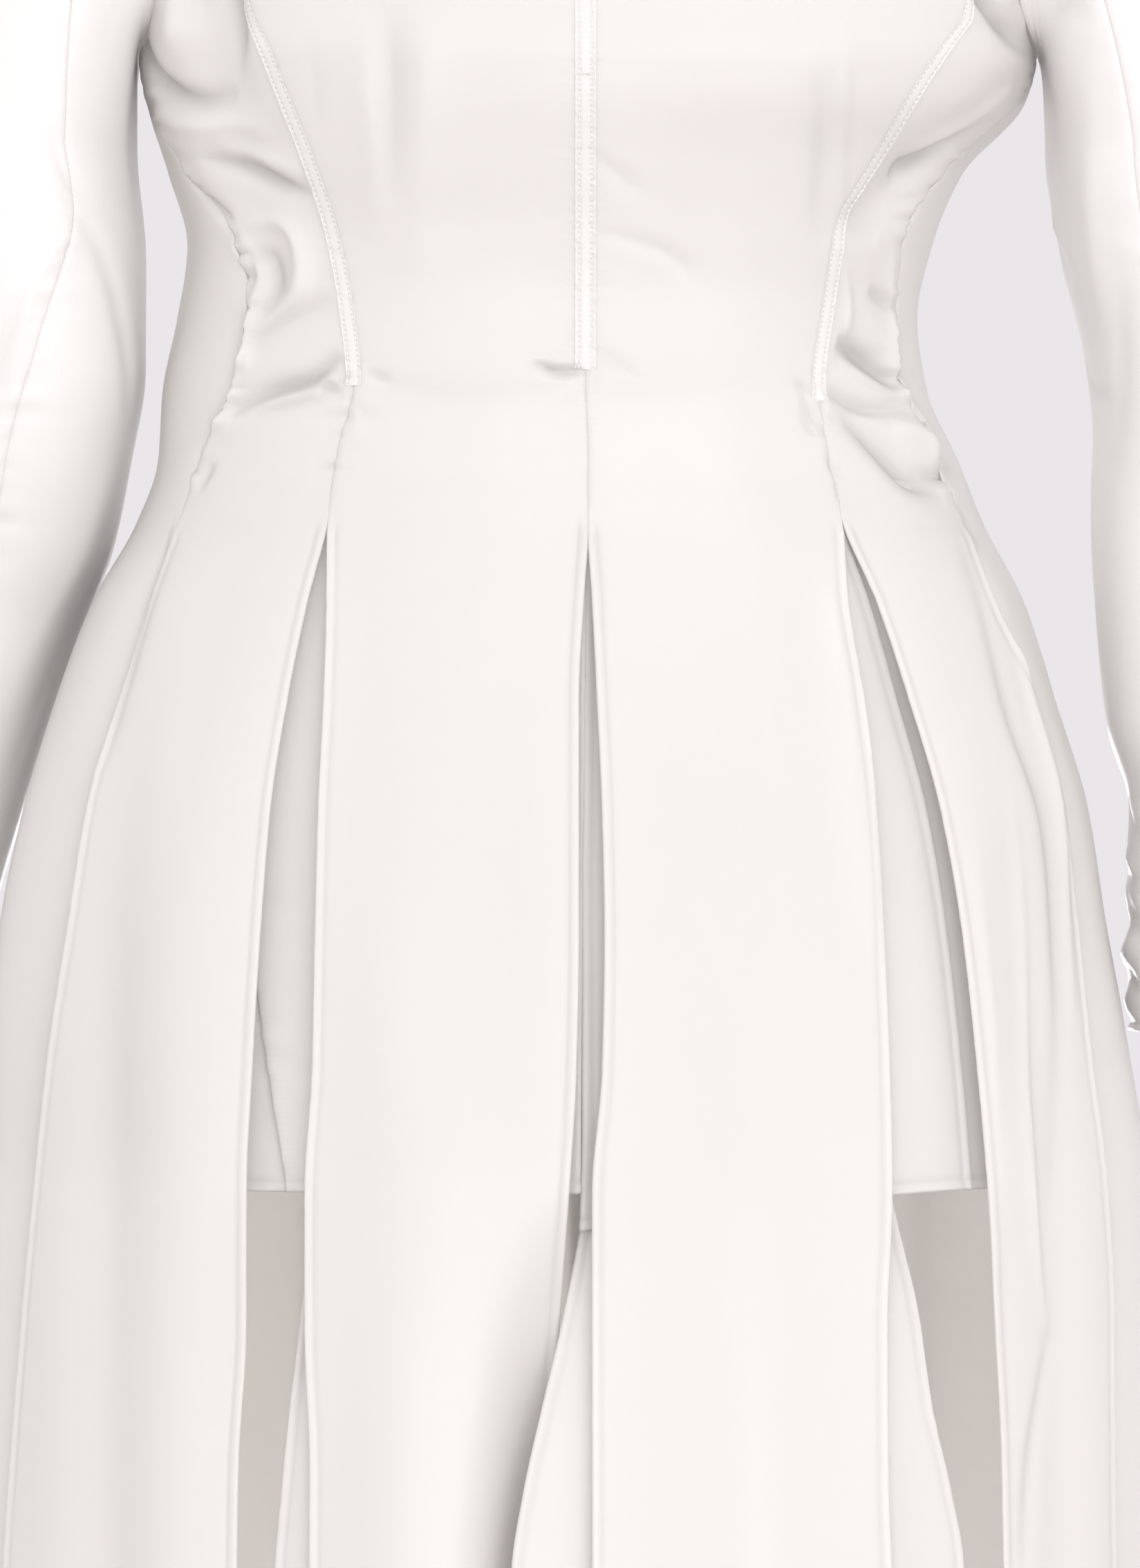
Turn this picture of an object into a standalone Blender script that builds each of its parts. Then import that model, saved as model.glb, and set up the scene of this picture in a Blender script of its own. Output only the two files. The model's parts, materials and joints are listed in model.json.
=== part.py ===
"""A long sleeve satin dress, filled out and hollow, as it hangs when it is worn.

Eight long panels run from the neck and the armholes to the hem with no waist seam. Tapes cover the
centre front and princess seams of the bodice. Below the hip the panels are parted by slits, and a
short underskirt and three long inner panels hang behind them. The sleeves are long, in two pieces.

Metres, +Z up, the front faces -Y. The origin is the middle of the shoulder line, where the dress is
held. Left is the side of -X. The tables are in millimetres. An angle on a section is in degrees: 0 is
the centre front, 90 is +X and 180 is the centre back.
"""

import math
from collections import namedtuple

import bpy
from mathutils import Vector

MM = 0.001
WALL = 1.0
SEAM_GAP = 0.6
SLEEVE_SEAM_GAP = 0.9
SHOULDER_GAP = 1.6
ARMHOLE_GAP = 0.8
TAPE_CLEARANCE = 0.8
TAPE_START = 0.2
ROUNDNESS = 2.2
INNER_FOLDS = 0.3

NECK_HALF_WIDTH = 72.0
NECK_POINT_HEIGHT = 6.0
FRONT_NECK_HEIGHT = -78.0
BACK_NECK_HEIGHT = -16.0
NECK_BEND = 2.4
NECK_SHARES = (0.02, 0.42, 0.75, 1.0)
SHOULDER_SLOPE = 0.36
BUST_HEIGHT = -230.0
FRONT_CLOSING = (1.6, 2.3, 0.75, 0.50)
BACK_CLOSING = (2.4, 2.6, 0.60, 0.50)

ARMHOLE_TOP = -36.0
ARMHOLE_BOTTOM = -262.0
ARMHOLE_STEPS = 20
PRINCESS_STEP = 6
UNDERARM_STEP = 10

SLIT_TOP = -456.0
HEM = -1180.0
FOLD_FADE = 200.0
UNDERSKIRT_TOP = -440.0
UNDERSKIRT_HEM = -730.0
UNDERSKIRT_BACK_SEAM = 100.0
UNDERSKIRT_LEFT_SEAM = (-40.0, -27.5)
UNDERSKIRT_CENTRE_SEAM = (0.0, -3.0)
UNDERSKIRT_FREE_EDGE = (0.0, 10.0)
UNDERSKIRT_LAPPED_EDGE = (4.0, 18.0)
INNER_COLUMNS = 4
CENTRE_TAPE_WIDTH = 9.2
PRINCESS_TAPE_WIDTH = 6.3
CENTRE_TAPE_END = -396.0
LEFT_TAPE_END = -402.0
RIGHT_TAPE_END = -408.0

SIDE_ROWS = (-184.0, -205.0, -228.0, -250.0, -280.0, -310.0)
BODICE_ROWS = (-340.0, -370.0, -400.0, -430.0, -456.0)
SKIRT_ROWS = (-490.0, -530.0, -575.0, -625.0, -680.0, -730.0, -785.0, -840.0, -900.0, -990.0, -1085.0, HEM)

# The outline of each horizontal section: how far it reaches to the left, right, front and back.
Ring = namedtuple("Ring", "z left right front back")
RINGS = (
    Ring(20, -195, 195, 125, 95),
    Ring(-150, -195, 195, 122, 95),
    Ring(-200, -189, 189, 122, 93),
    Ring(-262, -188, 188, 125, 91),
    Ring(-280, -185, 183, 122, 89),
    Ring(-310, -176, 157, 113, 86),
    Ring(-340, -168, 145, 104, 84),
    Ring(-370, -172, 139, 98, 85),
    Ring(-400, -178, 143, 96, 90),
    Ring(-430, -180, 156, 102, 98),
    Ring(-456, -189, 166, 110, 108),
    Ring(-490, -208, 183, 118, 122),
    Ring(-530, -222, 195, 126, 134),
    Ring(-575, -234, 207, 133, 144),
    Ring(-625, -242, 213, 138, 150),
    Ring(-680, -246, 222, 142, 154),
    Ring(-730, -247, 229, 145, 157),
    Ring(-785, -248, 231, 148, 160),
    Ring(-840, -249, 232, 151, 163),
    Ring(-900, -250, 233, 154, 166),
    Ring(-1180, -262, 244, 168, 180),
)

# Where each front panel's two edges lie, from left to right. A pair is one seam down to the slit tops.
Front = namedtuple(
    "Front",
    "z side_left left_out left_in centre_left centre_right right_in right_out side_right",
)
FRONT_EDGES = (
    Front(-184, -183, -164, -164, -1, -1, 164, 164, 183),
    Front(-215, -185, -152, -152, -1, -1, 162, 162, 185),
    Front(-250, -187, -140, -140, -1, -1, 156, 156, 187),
    Front(-262, -188, -134, -134, -1, -1, 148, 148, 188),
    Front(-280, -183, -127, -127, -1, -1, 136, 136, 181),
    Front(-310, -168, -115, -115, -1, -1, 119, 119, 150),
    Front(-340, -146, -105, -105, -1, -1, 104, 104, 131),
    Front(-370, -140, -99, -99, -1, -1, 99, 99, 128),
    Front(-400, -146, -96, -96, -1, -1, 95, 95, 130),
    Front(-430, -161, -103, -103, 0, 0, 99, 99, 145),
    Front(-456, -169, -106, -106, 0, 0, 104, 104, 156),
    Front(-490, -182, -114, -106, -2, 2, 106, 118, 169),
    Front(-530, -194, -122, -107, -4, 4, 112, 131, 186),
    Front(-575, -206, -129, -109, -4, 6, 117, 144, 197),
    Front(-625, -214, -133, -110, -4, 7, 120, 153, 203),
    Front(-680, -222, -136, -111, -5, 6, 122, 159, 208),
    Front(-730, -227, -138, -114, -8, 2, 123, 163, 214),
    Front(-785, -232, -138, -114, -12, 2, 121, 166, 217),
    Front(-840, -236, -141, -112, -16, 2, 121, 169, 217),
    Front(-900, -239, -142, -112, -20, 2, 123, 170, 218),
    Front(-1180, -250, -148, -118, -26, 2, 128, 178, 228),
)

# The back panels' edges: the seams mirror each other, and side_slit is how wide each side slit opens.
Back = namedtuple("Back", "z princess_out princess_in centre side_slit")
BACK_EDGES = (
    Back(-184, 164, 164, 0, 0),
    Back(-250, 142, 142, 0, 0),
    Back(-310, 112, 112, 0, 0),
    Back(-400, 92, 92, 0, 0),
    Back(-456, 104, 104, 0, 0),
    Back(-530, 109, 107, 0.6, 1.5),
    Back(-680, 116, 113, 1.0, 2.0),
    Back(-900, 121, 118, 1.2, 2.5),
    Back(-1180, 128, 124, 1.6, 3.0),
)

# The armhole seen from the front: how far from the middle it lies at each height.
Armhole = namedtuple("Armhole", "z reach")
ARMHOLE = (
    Armhole(-36, 188),
    Armhole(-60, 176),
    Armhole(-90, 167),
    Armhole(-130, 162),
    Armhole(-184, 164),
    Armhole(-225, 174),
    Armhole(-250, 182),
    Armhole(-262, 188),
)

# Soft folds, ridges above zero and troughs below: they run between two heights and two angles.
Fold = namedtuple("Fold", "top bottom top_angle bottom_angle width depth")
FOLDS = (
    Fold(-190, -350, -62, -47, 8, -7),
    Fold(-265, -345, 74, 48, 8, -6),
    Fold(-470, -1180, -38, -39, 6, 5),
    Fold(-480, -1180, -52, -50, 6, -5),
    Fold(-470, -1180, -80, -78, 8, 7),
    Fold(-500, -1180, -97, -95, 8, -6),
    Fold(-480, -1180, -114, -112, 8, 6),
    Fold(-500, -1180, -142, -142, 8, 6),
    Fold(-520, -1180, -156, -157, 7, -5),
    Fold(-480, -1180, -170, -170, 7, 5),
    Fold(-500, -1180, 168, 166, 7, -5),
    Fold(-480, -1180, 150, 150, 8, 6),
    Fold(-520, -1180, 134, 136, 7, -5),
    Fold(-480, -1180, 116, 118, 8, 6),
    Fold(-500, -1180, 100, 101, 8, -6),
    Fold(-480, -1180, 84, 85, 7, 6),
    Fold(-500, -1180, 56, 57, 5, -4),
    Fold(-490, -1180, 18, 17, 7, -3),
    Fold(-490, -1180, -13, -12, 7, 3),
)

# How far the right edge of the front left panel turns in behind the inner panel.
Tuck = namedtuple("Tuck", "z depth")
CENTRE_TUCK = (Tuck(-720, 0), Tuck(-785, 14), Tuck(-840, 28), Tuck(-900, 38), Tuck(-1180, 50))
TUCK_SHARES = (1.0, 0.42, 0.08)

# How far inside the outer panels the pieces of the underskirt and the inner panels hang.
Inset = namedtuple("Inset", "z front side lapped inner")
INSETS = (
    Inset(-440, 1.6, 4.8, 4.8, 3.1),
    Inset(-456, 2.6, 5.6, 5.6, 4.1),
    Inset(-490, 8.0, 9.5, 10.0, 9.5),
    Inset(-530, 12.0, 12.5, 13.6, 13.5),
    Inset(-575, 15.0, 15.0, 16.6, 16.5),
    Inset(-625, 17.0, 17.0, 18.6, 18.5),
    Inset(-680, 18.0, 18.0, 19.6, 19.5),
    Inset(-730, 18.0, 18.0, 19.6, 19.5),
    Inset(-785, 18.0, 18.0, 19.6, 10.0),
    Inset(-840, 18.0, 18.0, 19.6, 8.0),
    Inset(-1180, 18.0, 18.0, 19.6, 8.0),
)

# The pieces of the underskirt: their two edges, how many columns they have and how far in they hang.
Layer = namedtuple("Layer", "name start end columns inset")
UNDERSKIRT = (
    Layer("front_left", "side_left", "centre", 5, "front"),
    Layer("front_right", "centre", "free_right", 6, "front"),
    Layer("side_left", "back_left", "side_left", 6, "side"),
    Layer("side_right", "lapped_right", "back_right", 6, "lapped"),
    Layer("back", "back_right", "back_left", 14, "side"),
)

# The three long inner panels: the left and right edge of each.
Inner = namedtuple("Inner", "z left_a left_b centre_a centre_b right_a right_b")
INNER_EDGES = (
    Inner(-440, -103, -72, 2, 48, 64, 94),
    Inner(-530, -106, -73, 2, 50, 67, 106),
    Inner(-730, -117, -76, 0, 58, 76, 130),
    Inner(-785, -119, -78, -10, 60, 76, 133),
    Inner(-840, -123, -80, -22, 62, 76, 142),
    Inner(-883, -128, -82, -30, 63, 77, 149),
    Inner(-1180, -134, -84, -36, 66, 80, 156),
)

# The sleeves' sections: nearest and furthest from the middle, front and back.
Cuff = namedtuple("Cuff", "z inner outer front back")
LEFT_SLEEVE = (
    Cuff(-300, 188, 287, -55, 51),
    Cuff(-345, 185, 286, -52, 56),
    Cuff(-390, 185, 285, -44, 60),
    Cuff(-430, 192, 289, -34, 70),
    Cuff(-465, 200, 294, -20, 80),
    Cuff(-500, 214, 303, -6, 90),
    Cuff(-540, 229, 313, 2, 94),
    Cuff(-587, 243, 324, 8, 92),
    Cuff(-625, 253, 331, 12, 88),
    Cuff(-655, 259, 335, 14, 86),
)
RIGHT_SLEEVE = (
    Cuff(-300, 192, 289, -55, 51),
    Cuff(-345, 199, 292, -52, 54),
    Cuff(-385, 209, 299, -48, 56),
    Cuff(-420, 213, 302, -44, 56),
    Cuff(-460, 212, 300, -40, 54),
    Cuff(-500, 214, 298, -38, 52),
    Cuff(-540, 218, 298, -36, 48),
    Cuff(-575, 227, 303, -34, 44),
    Cuff(-615, 227, 299, -32, 42),
    Cuff(-645, 226, 296, -32, 40),
    Cuff(-668, 228, 296, -32, 40),
)
SLEEVE_HEAD_ROWS = 5
SLEEVE_HEAD_REACH = 0.72
FRONT_SEAM_STEP = 6
BACK_SEAM_STEP = 14

SATIN = ("ivory satin", (0.87, 0.82, 0.79), 0.34)
TAPE = ("satin tape", (0.88, 0.83, 0.80), 0.30)
SHADED = ("ivory satin under layer", (0.72, 0.68, 0.63), 0.40)


def clear_scene():
    """Removes what the scene holds."""
    for item in list(bpy.data.objects):
        bpy.data.objects.remove(item, do_unlink=True)


def read(table, column, z):
    """Reads a column of a table at a height, on a smooth curve through its rows."""
    rows = sorted(table, key=lambda row: -row.z)
    if z >= rows[0].z:
        return getattr(rows[0], column)
    if z <= rows[-1].z:
        return getattr(rows[-1], column)
    i = next(k for k in range(len(rows) - 1) if rows[k + 1].z <= z)
    heights = [row.z for row in rows]
    values = [getattr(row, column) for row in rows]
    step = heights[i + 1] - heights[i]
    t = (z - heights[i]) / step
    slopes = [slope_at(heights, values, k) * step for k in (i, i + 1)]
    start = (2 * t**3 - 3 * t**2 + 1) * values[i] + (t**3 - 2 * t**2 + t) * slopes[0]
    return start + (3 * t**2 - 2 * t**3) * values[i + 1] + (t**3 - t**2) * slopes[1]


def slope_at(heights, values, k):
    """The slope at a row: zero at a turn, and otherwise the harmonic mean of the slopes beside it."""
    if k in (0, len(values) - 1):
        return 0.0
    before = (values[k] - values[k - 1]) / (heights[k] - heights[k - 1])
    after = (values[k + 1] - values[k]) / (heights[k + 1] - heights[k])
    return 0.0 if before * after <= 0 else 2 * before * after / (before + after)


def ease(t):
    """A soft step from 0 to 1."""
    t = min(max(t, 0.0), 1.0)
    return t * t * (3 - 2 * t)


def turn_between(a, b):
    """The signed difference of two angles."""
    return (a - b + 180.0) % 360.0 - 180.0


def fold_depth(angle, z):
    """How far the folds move the cloth out at a place."""
    total = 0.0
    for fold in FOLDS:
        if not fold.bottom <= z <= fold.top:
            continue
        along = (fold.top - z) / (fold.top - fold.bottom)
        middle = fold.top_angle + along * (fold.bottom_angle - fold.top_angle)
        off = turn_between(angle, middle) / fold.width
        fade = ease((fold.top - z) / FOLD_FADE) if fold.bottom == HEM else math.sin(math.pi * along)
        total += fold.depth * fade * math.exp(-off * off)
    return total


def section(z):
    """The middle and half width of a section, and its reach to the front and back."""
    left, right = read(RINGS, "left", z), read(RINGS, "right", z)
    return (left + right) / 2, (right - left) / 2, read(RINGS, "front", z), read(RINGS, "back", z)


def shoulder_height(x):
    """The height of the shoulder line at a distance from the middle."""
    return NECK_POINT_HEIGHT - SHOULDER_SLOPE * (abs(x) - NECK_HALF_WIDTH)


def closing(x, z, back):
    """How far the front or back has closed towards the shoulder line: 1 at the bust, 0 at the line."""
    if z <= BUST_HEIGHT:
        return 1.0
    t = min((z - BUST_HEIGHT) / (shoulder_height(x) - BUST_HEIGHT), 1.0)
    inner_bend, outer_bend, inner_power, outer_power = BACK_CLOSING if back else FRONT_CLOSING
    share = min(abs(x) / ARMHOLE[0].reach, 1.0)
    bend = between(inner_bend, outer_bend, share)
    return (1 - t**bend) ** between(inner_power, outer_power, share)


def angle_of(x, z, back=False):
    """The angle at which a section reaches x, on its front or its back."""
    middle, half, _, _ = section(z)
    share = min(abs(x - middle) / half, 1.0)
    angle = math.degrees(math.asin(share ** (ROUNDNESS / 2)))
    return math.copysign(180 - angle if back else angle, x - middle)


def on_dress(angle, z, out=0.0, folds=1.0):
    """A point of the dress at an angle and a height, moved out by some millimetres."""
    middle, half, front, back = section(z)
    across, along = math.sin(math.radians(angle)), math.cos(math.radians(angle))
    power = 2 / ROUNDNESS
    reach = out + folds * fold_depth(angle, z)
    x = middle + math.copysign((half + reach) * abs(across) ** power, across)
    behind = along < 0
    depth = (back if behind else front) * closing(x, z, behind) + reach
    y = math.copysign(depth * abs(along) ** power, -along)
    return Vector((x, y, z)) * MM


def cloth(name, rows, finish):
    """A piece of cloth through rows of points, which run from left to right seen from outside."""
    width = len(rows[0])
    points = [tuple(point) for row in rows for point in row]
    faces = []
    for r in range(len(rows) - 1):
        for c in range(width - 1):
            corner = r * width + c
            faces.append((corner, corner + width, corner + width + 1, corner + 1))
    mesh = bpy.data.meshes.new(name)
    mesh.from_pydata(points, [], faces)
    mesh.shade_smooth()
    mesh.materials.append(finish)
    piece = bpy.data.objects.new(name, mesh)
    bpy.context.scene.collection.objects.link(piece)
    wall = piece.modifiers.new("wall", "SOLIDIFY")
    wall.thickness = WALL * MM
    wall.offset = -1
    return piece


def material(name, colour, roughness):
    """A plain cloth material."""
    made = bpy.data.materials.new(name)
    made.use_nodes = True
    shader = made.node_tree.nodes["Principled BSDF"]
    shader.inputs["Base Color"].default_value = (*colour, 1)
    shader.inputs["Roughness"].default_value = roughness
    shader.inputs["Metallic"].default_value = 0.0
    made.diffuse_color = (*colour, 1)
    return made


def gap_angle(z, gap=SEAM_GAP):
    """Half a gap between two pieces, as an angle."""
    _, half, front, _ = section(z)
    return math.degrees(gap / (half + front))


def shifted(angle, distance, z):
    """An angle moved along the section by a distance."""
    _, half, front, _ = section(z)
    return angle + math.degrees(2 * distance / (half + front))


def front_edge(column, z):
    """The angle of an edge of a front panel. Above the slits both panels share one seam."""
    shared = {"left_out": "left_in", "centre_right": "centre_left", "right_out": "right_in"}
    if z >= SLIT_TOP:
        column = shared.get(column, column)
    return angle_of(read(FRONT_EDGES, column, z), z)


def back_edge(column, side, z):
    """The angle of an edge of a back panel, with side -1 for the left."""
    if z >= SLIT_TOP:
        column = "princess_in"
    return angle_of(side * read(BACK_EDGES, column, z) + section(z)[0], z, back=True)


def side_back_edge(side, z):
    """The angle of the front edge of a side back panel, across the side slit."""
    column = "side_left" if side < 0 else "side_right"
    return shifted(front_edge(column, z), side * read(BACK_EDGES, "side_slit", z), z)


def armhole_height(step):
    """The height of a step round the armhole, counted from the shoulder."""
    share = (1 - math.cos(2 * math.pi * step / ARMHOLE_STEPS)) / 2
    return ARMHOLE_TOP + share * (ARMHOLE_BOTTOM - ARMHOLE_TOP)


def armhole_angle(side, z, back):
    """The angle of the armhole's edge at a height."""
    return angle_of(side * read(ARMHOLE, "reach", z), z, back)


def between(a, b, t):
    """A value part of the way from one to another."""
    return a + (b - a) * t


def neck_height(x, back):
    """The height of the neckline at a distance from the middle."""
    low = BACK_NECK_HEIGHT if back else FRONT_NECK_HEIGHT
    share = min(abs(x) / NECK_HALF_WIDTH, 1.0)
    return low + (NECK_POINT_HEIGHT - low) * share**NECK_BEND


def top_of_panel(side, back):
    """The places along a centre panel's neckline and shoulder, from the middle outwards."""
    shoulder = read(ARMHOLE, "reach", ARMHOLE_TOP)
    reaches = [share * NECK_HALF_WIDTH for share in NECK_SHARES]
    reaches += [between(NECK_HALF_WIDTH, shoulder, 0.5), shoulder]
    places = []
    for reach in reaches:
        z = neck_height(reach, back) if reach < NECK_HALF_WIDTH else shoulder_height(reach)
        places.append((angle_of(side * reach, z, back), z))
    return places


def centre_panel(side, back, inner_edge, outer_edge):
    """Rows of a front or back panel beside the middle: neckline, shoulder, armhole and princess seam."""
    top = top_of_panel(side, back)
    last = len(top) - 1
    base = armhole_height(PRINCESS_STEP)
    facing = 1 if back else -1
    rows = []
    for step in range(PRINCESS_STEP):
        down = (ARMHOLE_TOP - armhole_height(step)) / (ARMHOLE_TOP - base)
        armhole = armhole_angle(side, armhole_height(step), back)
        straight = between(top[last][0], outer_edge(base), down)
        row = []
        for k, (top_angle, top_z) in enumerate(top):
            share = k / last
            z = between(top_z, base, down)
            angle = between(top_angle, between(inner_edge(base), outer_edge(base), share), down)
            angle += share * (armhole - straight)
            point = on_dress(angle, z)
            point.y += facing * SHOULDER_GAP / 2 * MM * (1 - down)
            row.append(point)
        rows.append(row)
    for z in (base,) + SIDE_ROWS[1:] + BODICE_ROWS + SKIRT_ROWS:
        first, second = inner_edge(z), outer_edge(z)
        rows.append([on_dress(between(first, second, k / last), z) for k in range(last + 1)])
    return rows


def side_panel(side, back, princess_edge, side_edge):
    """Rows of a panel beside the side seam, from the lower armhole to the hem."""
    count = UNDERARM_STEP - PRINCESS_STEP
    heights = [armhole_height(PRINCESS_STEP + k) for k in range(count + 1)]
    top = [armhole_angle(side, z, back) for z in heights[:-1]] + [side_edge(heights[-1])]
    base = SIDE_ROWS[-1]
    rows = []
    for level in SIDE_ROWS[:-1]:
        down = (SIDE_ROWS[0] - level) / (SIDE_ROWS[0] - base)
        row = []
        for k in range(count + 1):
            share = k / count
            z = between(heights[k], base, down)
            low = between(princess_edge(base), side_edge(base), share)
            angle = between(top[k], low, down)
            near = between(top[0], princess_edge(base), down)
            far = between(top[-1], side_edge(base), down)
            first = between(heights[0], base, down)
            last = between(heights[-1], base, down)
            angle += (1 - share) * (princess_edge(first) - near) + share * (side_edge(last) - far)
            row.append(on_dress(angle, z))
        rows.append(row)
    for z in (base,) + BODICE_ROWS + SKIRT_ROWS:
        first, second = princess_edge(z), side_edge(z)
        rows.append([on_dress(between(first, second, k / count), z) for k in range(count + 1)])
    return rows


def outwards(rows, reverse):
    """Turns rows round where they run from right to left."""
    return [list(reversed(row)) for row in rows] if reverse else rows


def tucked(rows):
    """Turns the right edge of the front left panel in towards the hem."""
    for row in rows:
        depth = read(CENTRE_TUCK, "depth", row[-1].z / MM)
        for k, share in enumerate(TUCK_SHARES):
            row[-1 - k].y += share * depth * MM
    return rows


def front_panels(satin):
    """The two front panels and the two side front panels. It returns their rows of points."""
    panels = {}
    for side, word in ((-1, "left"), (1, "right")):
        middle = "centre_" + word

        def inner(z, side=side, middle=middle):
            return front_edge(middle, z) + side * gap_angle(z)

        def outer(z, side=side, column=word + "_in"):
            return front_edge(column, z) - side * gap_angle(z)

        def princess(z, side=side, column=word + "_out"):
            return front_edge(column, z) + side * gap_angle(z)

        def seam(z, side=side, column="side_" + word):
            return front_edge(column, z) - side * gap_angle(z)

        panels["front_" + word] = outwards(centre_panel(side, False, inner, outer), side < 0)
        panels["side_front_" + word] = outwards(side_panel(side, False, princess, seam), side < 0)
    tucked(panels["front_left"])
    for name, rows in panels.items():
        cloth(name + "_panel", rows, satin)
    return panels


def back_panels(satin):
    """The two back panels and the two side back panels."""
    for side, word in ((-1, "left"), (1, "right")):

        def inner(z, side=side):
            return side * (180 - gap_angle(z)) - shifted(0, side * read(BACK_EDGES, "centre", z), z)

        def outer(z, side=side):
            return back_edge("princess_in", side, z) + side * gap_angle(z)

        def princess(z, side=side):
            return back_edge("princess_out", side, z) - side * gap_angle(z)

        def seam(z, side=side):
            return side_back_edge(side, z) + side * gap_angle(z)

        cloth(f"back_{word}_panel", outwards(centre_panel(side, True, inner, outer), side > 0), satin)
        cloth(f"side_back_{word}_panel", outwards(side_panel(side, True, princess, seam), side > 0), satin)


def beside_seam(row, at_end, distance):
    """The point of a panel's row that lies a distance from its first or last point."""
    edge, next_one = (row[-1], row[-2]) if at_end else (row[0], row[1])
    return edge + (next_one - edge).normalized() * distance * MM


def at_height(rows, z):
    """The rows above a height, with one more cut across at it."""
    above = [row for row in rows if row[1].z / MM > z]
    below = rows[len(above)]
    share = (above[-1][1].z - z * MM) / (above[-1][1].z - below[1].z)
    return above + [[a.lerp(b, share) for a, b in zip(above[-1], below)]]


def tape(name, left_rows, right_rows, width, end, finish):
    """A tape over the seam of two panels, made from the points of both and moved out."""
    rows = []
    for left, right in zip(left_rows, right_rows):
        first, last = beside_seam(left, True, width / 2), beside_seam(right, False, width / 2)
        rows.append([first, first.lerp(last, 0.5), last])
    rows = at_height(rows, end)
    rows[0] = [a.lerp(b, TAPE_START) for a, b in zip(rows[0], rows[1])]
    moved = []
    for i, row in enumerate(rows):
        down = rows[min(i + 1, len(rows) - 1)][1] - rows[max(i - 1, 0)][1]
        out = down.cross(row[2] - row[0]).normalized() * (WALL + TAPE_CLEARANCE) * MM
        moved.append([point + out for point in row])
    cloth(name, moved, finish)


def tapes(panels, finish):
    """The three seam tapes of the bodice."""
    left, right = panels["front_left"], panels["front_right"]
    lower = slice(PRINCESS_STEP, None)
    tape("centre_seam_tape", left, right, CENTRE_TAPE_WIDTH, CENTRE_TAPE_END, finish)
    side = panels["side_front_left"]
    tape("left_princess_tape", side, left[lower], PRINCESS_TAPE_WIDTH, LEFT_TAPE_END, finish)
    side = panels["side_front_right"]
    tape("right_princess_tape", right[lower], side, PRINCESS_TAPE_WIDTH, RIGHT_TAPE_END, finish)


def underskirt_edges(z):
    """The angles of the underskirt's seams and free edges, from the left side round to the back."""
    drop = (UNDERSKIRT_TOP - z) / (UNDERSKIRT_TOP - UNDERSKIRT_HEM)
    slit = read(FRONT_EDGES, "right_out", z)
    return {
        "back_left": -UNDERSKIRT_BACK_SEAM,
        "side_left": between(*UNDERSKIRT_LEFT_SEAM, drop),
        "centre": angle_of(between(*UNDERSKIRT_CENTRE_SEAM, drop), z),
        "free_right": angle_of(slit - between(*UNDERSKIRT_FREE_EDGE, drop), z),
        "lapped_right": angle_of(slit - between(*UNDERSKIRT_LAPPED_EDGE, drop), z),
        "back_right": UNDERSKIRT_BACK_SEAM,
    }


def row_inside(first, second, columns, inset, z):
    """A row of points between two angles, inside the outer panels."""
    out = -read(INSETS, inset, z)
    angles = [between(first, second, k / columns) for k in range(columns + 1)]
    return [on_dress(angle, z, out, INNER_FOLDS) for angle in angles]


def underskirt(finish):
    """The five pieces of the short underskirt."""
    levels = [z for z in BODICE_ROWS + SKIRT_ROWS if UNDERSKIRT_HEM < z < UNDERSKIRT_TOP]
    for layer in UNDERSKIRT:
        rows = []
        for z in [UNDERSKIRT_TOP, *levels, UNDERSKIRT_HEM]:
            edges = underskirt_edges(z)
            first, second = edges[layer.start] + gap_angle(z), edges[layer.end] - gap_angle(z)
            second += 360 if second < first else 0
            rows.append(row_inside(first, second, layer.columns, layer.inset, z))
        cloth("underskirt_" + layer.name, rows, finish)


def inner_panels(finish):
    """The three long panels that hang inside the front slits."""
    for word in ("left", "centre", "right"):
        rows = []
        for z in [UNDERSKIRT_TOP, *BODICE_ROWS[-1:], *SKIRT_ROWS]:
            first = angle_of(read(INNER_EDGES, word + "_a", z), z)
            second = angle_of(read(INNER_EDGES, word + "_b", z), z)
            rows.append(row_inside(first, second, INNER_COLUMNS, "inner", z))
        cloth("inner_panel_" + word, rows, finish)


def armhole_point(side, step):
    """A point of the armhole, just outside the bodice's edge."""
    back = step > UNDERARM_STEP
    z = armhole_height(step)
    point = on_dress(armhole_angle(side, z, back), z)
    if step in (0, ARMHOLE_STEPS):
        point.y = 0.0
    if step == UNDERARM_STEP:
        z = armhole_height(UNDERARM_STEP)
        point = on_dress(side_back_edge(side, z), z)
    return point + Vector((side * ARMHOLE_GAP * MM, 0, 0))


def sleeve_point(side, table, step, z):
    """A point of a sleeve's section: steps are counted from the outer side, round the front."""
    inner, outer = read(table, "inner", z), read(table, "outer", z)
    front, back = read(table, "front", z), read(table, "back", z)
    turn = 2 * math.pi * step / ARMHOLE_STEPS
    x = (outer + inner) / 2 + (outer - inner) / 2 * math.cos(turn)
    y = (front + back) / 2 - (back - front) / 2 * math.sin(turn)
    return Vector((side * x, y, z)) * MM


def sleeve_rows(side, table, steps):
    """Rows of a sleeve piece, from the armhole over the head and down to the cuff."""
    top = table[0].z
    rows = []
    for level in range(SLEEVE_HEAD_ROWS):
        t = level / SLEEVE_HEAD_ROWS
        row = []
        for step in steps:
            start, end = armhole_point(side, step), sleeve_point(side, table, step, top)
            reach = Vector((between(start.x, end.x, SLEEVE_HEAD_REACH), start.y, start.z))
            row.append(start * (1 - t) ** 2 + reach * 2 * t * (1 - t) + end * t * t)
        rows.append(row)
    rows += [[sleeve_point(side, table, step, ring.z) for step in steps] for ring in table]
    return rows


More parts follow.
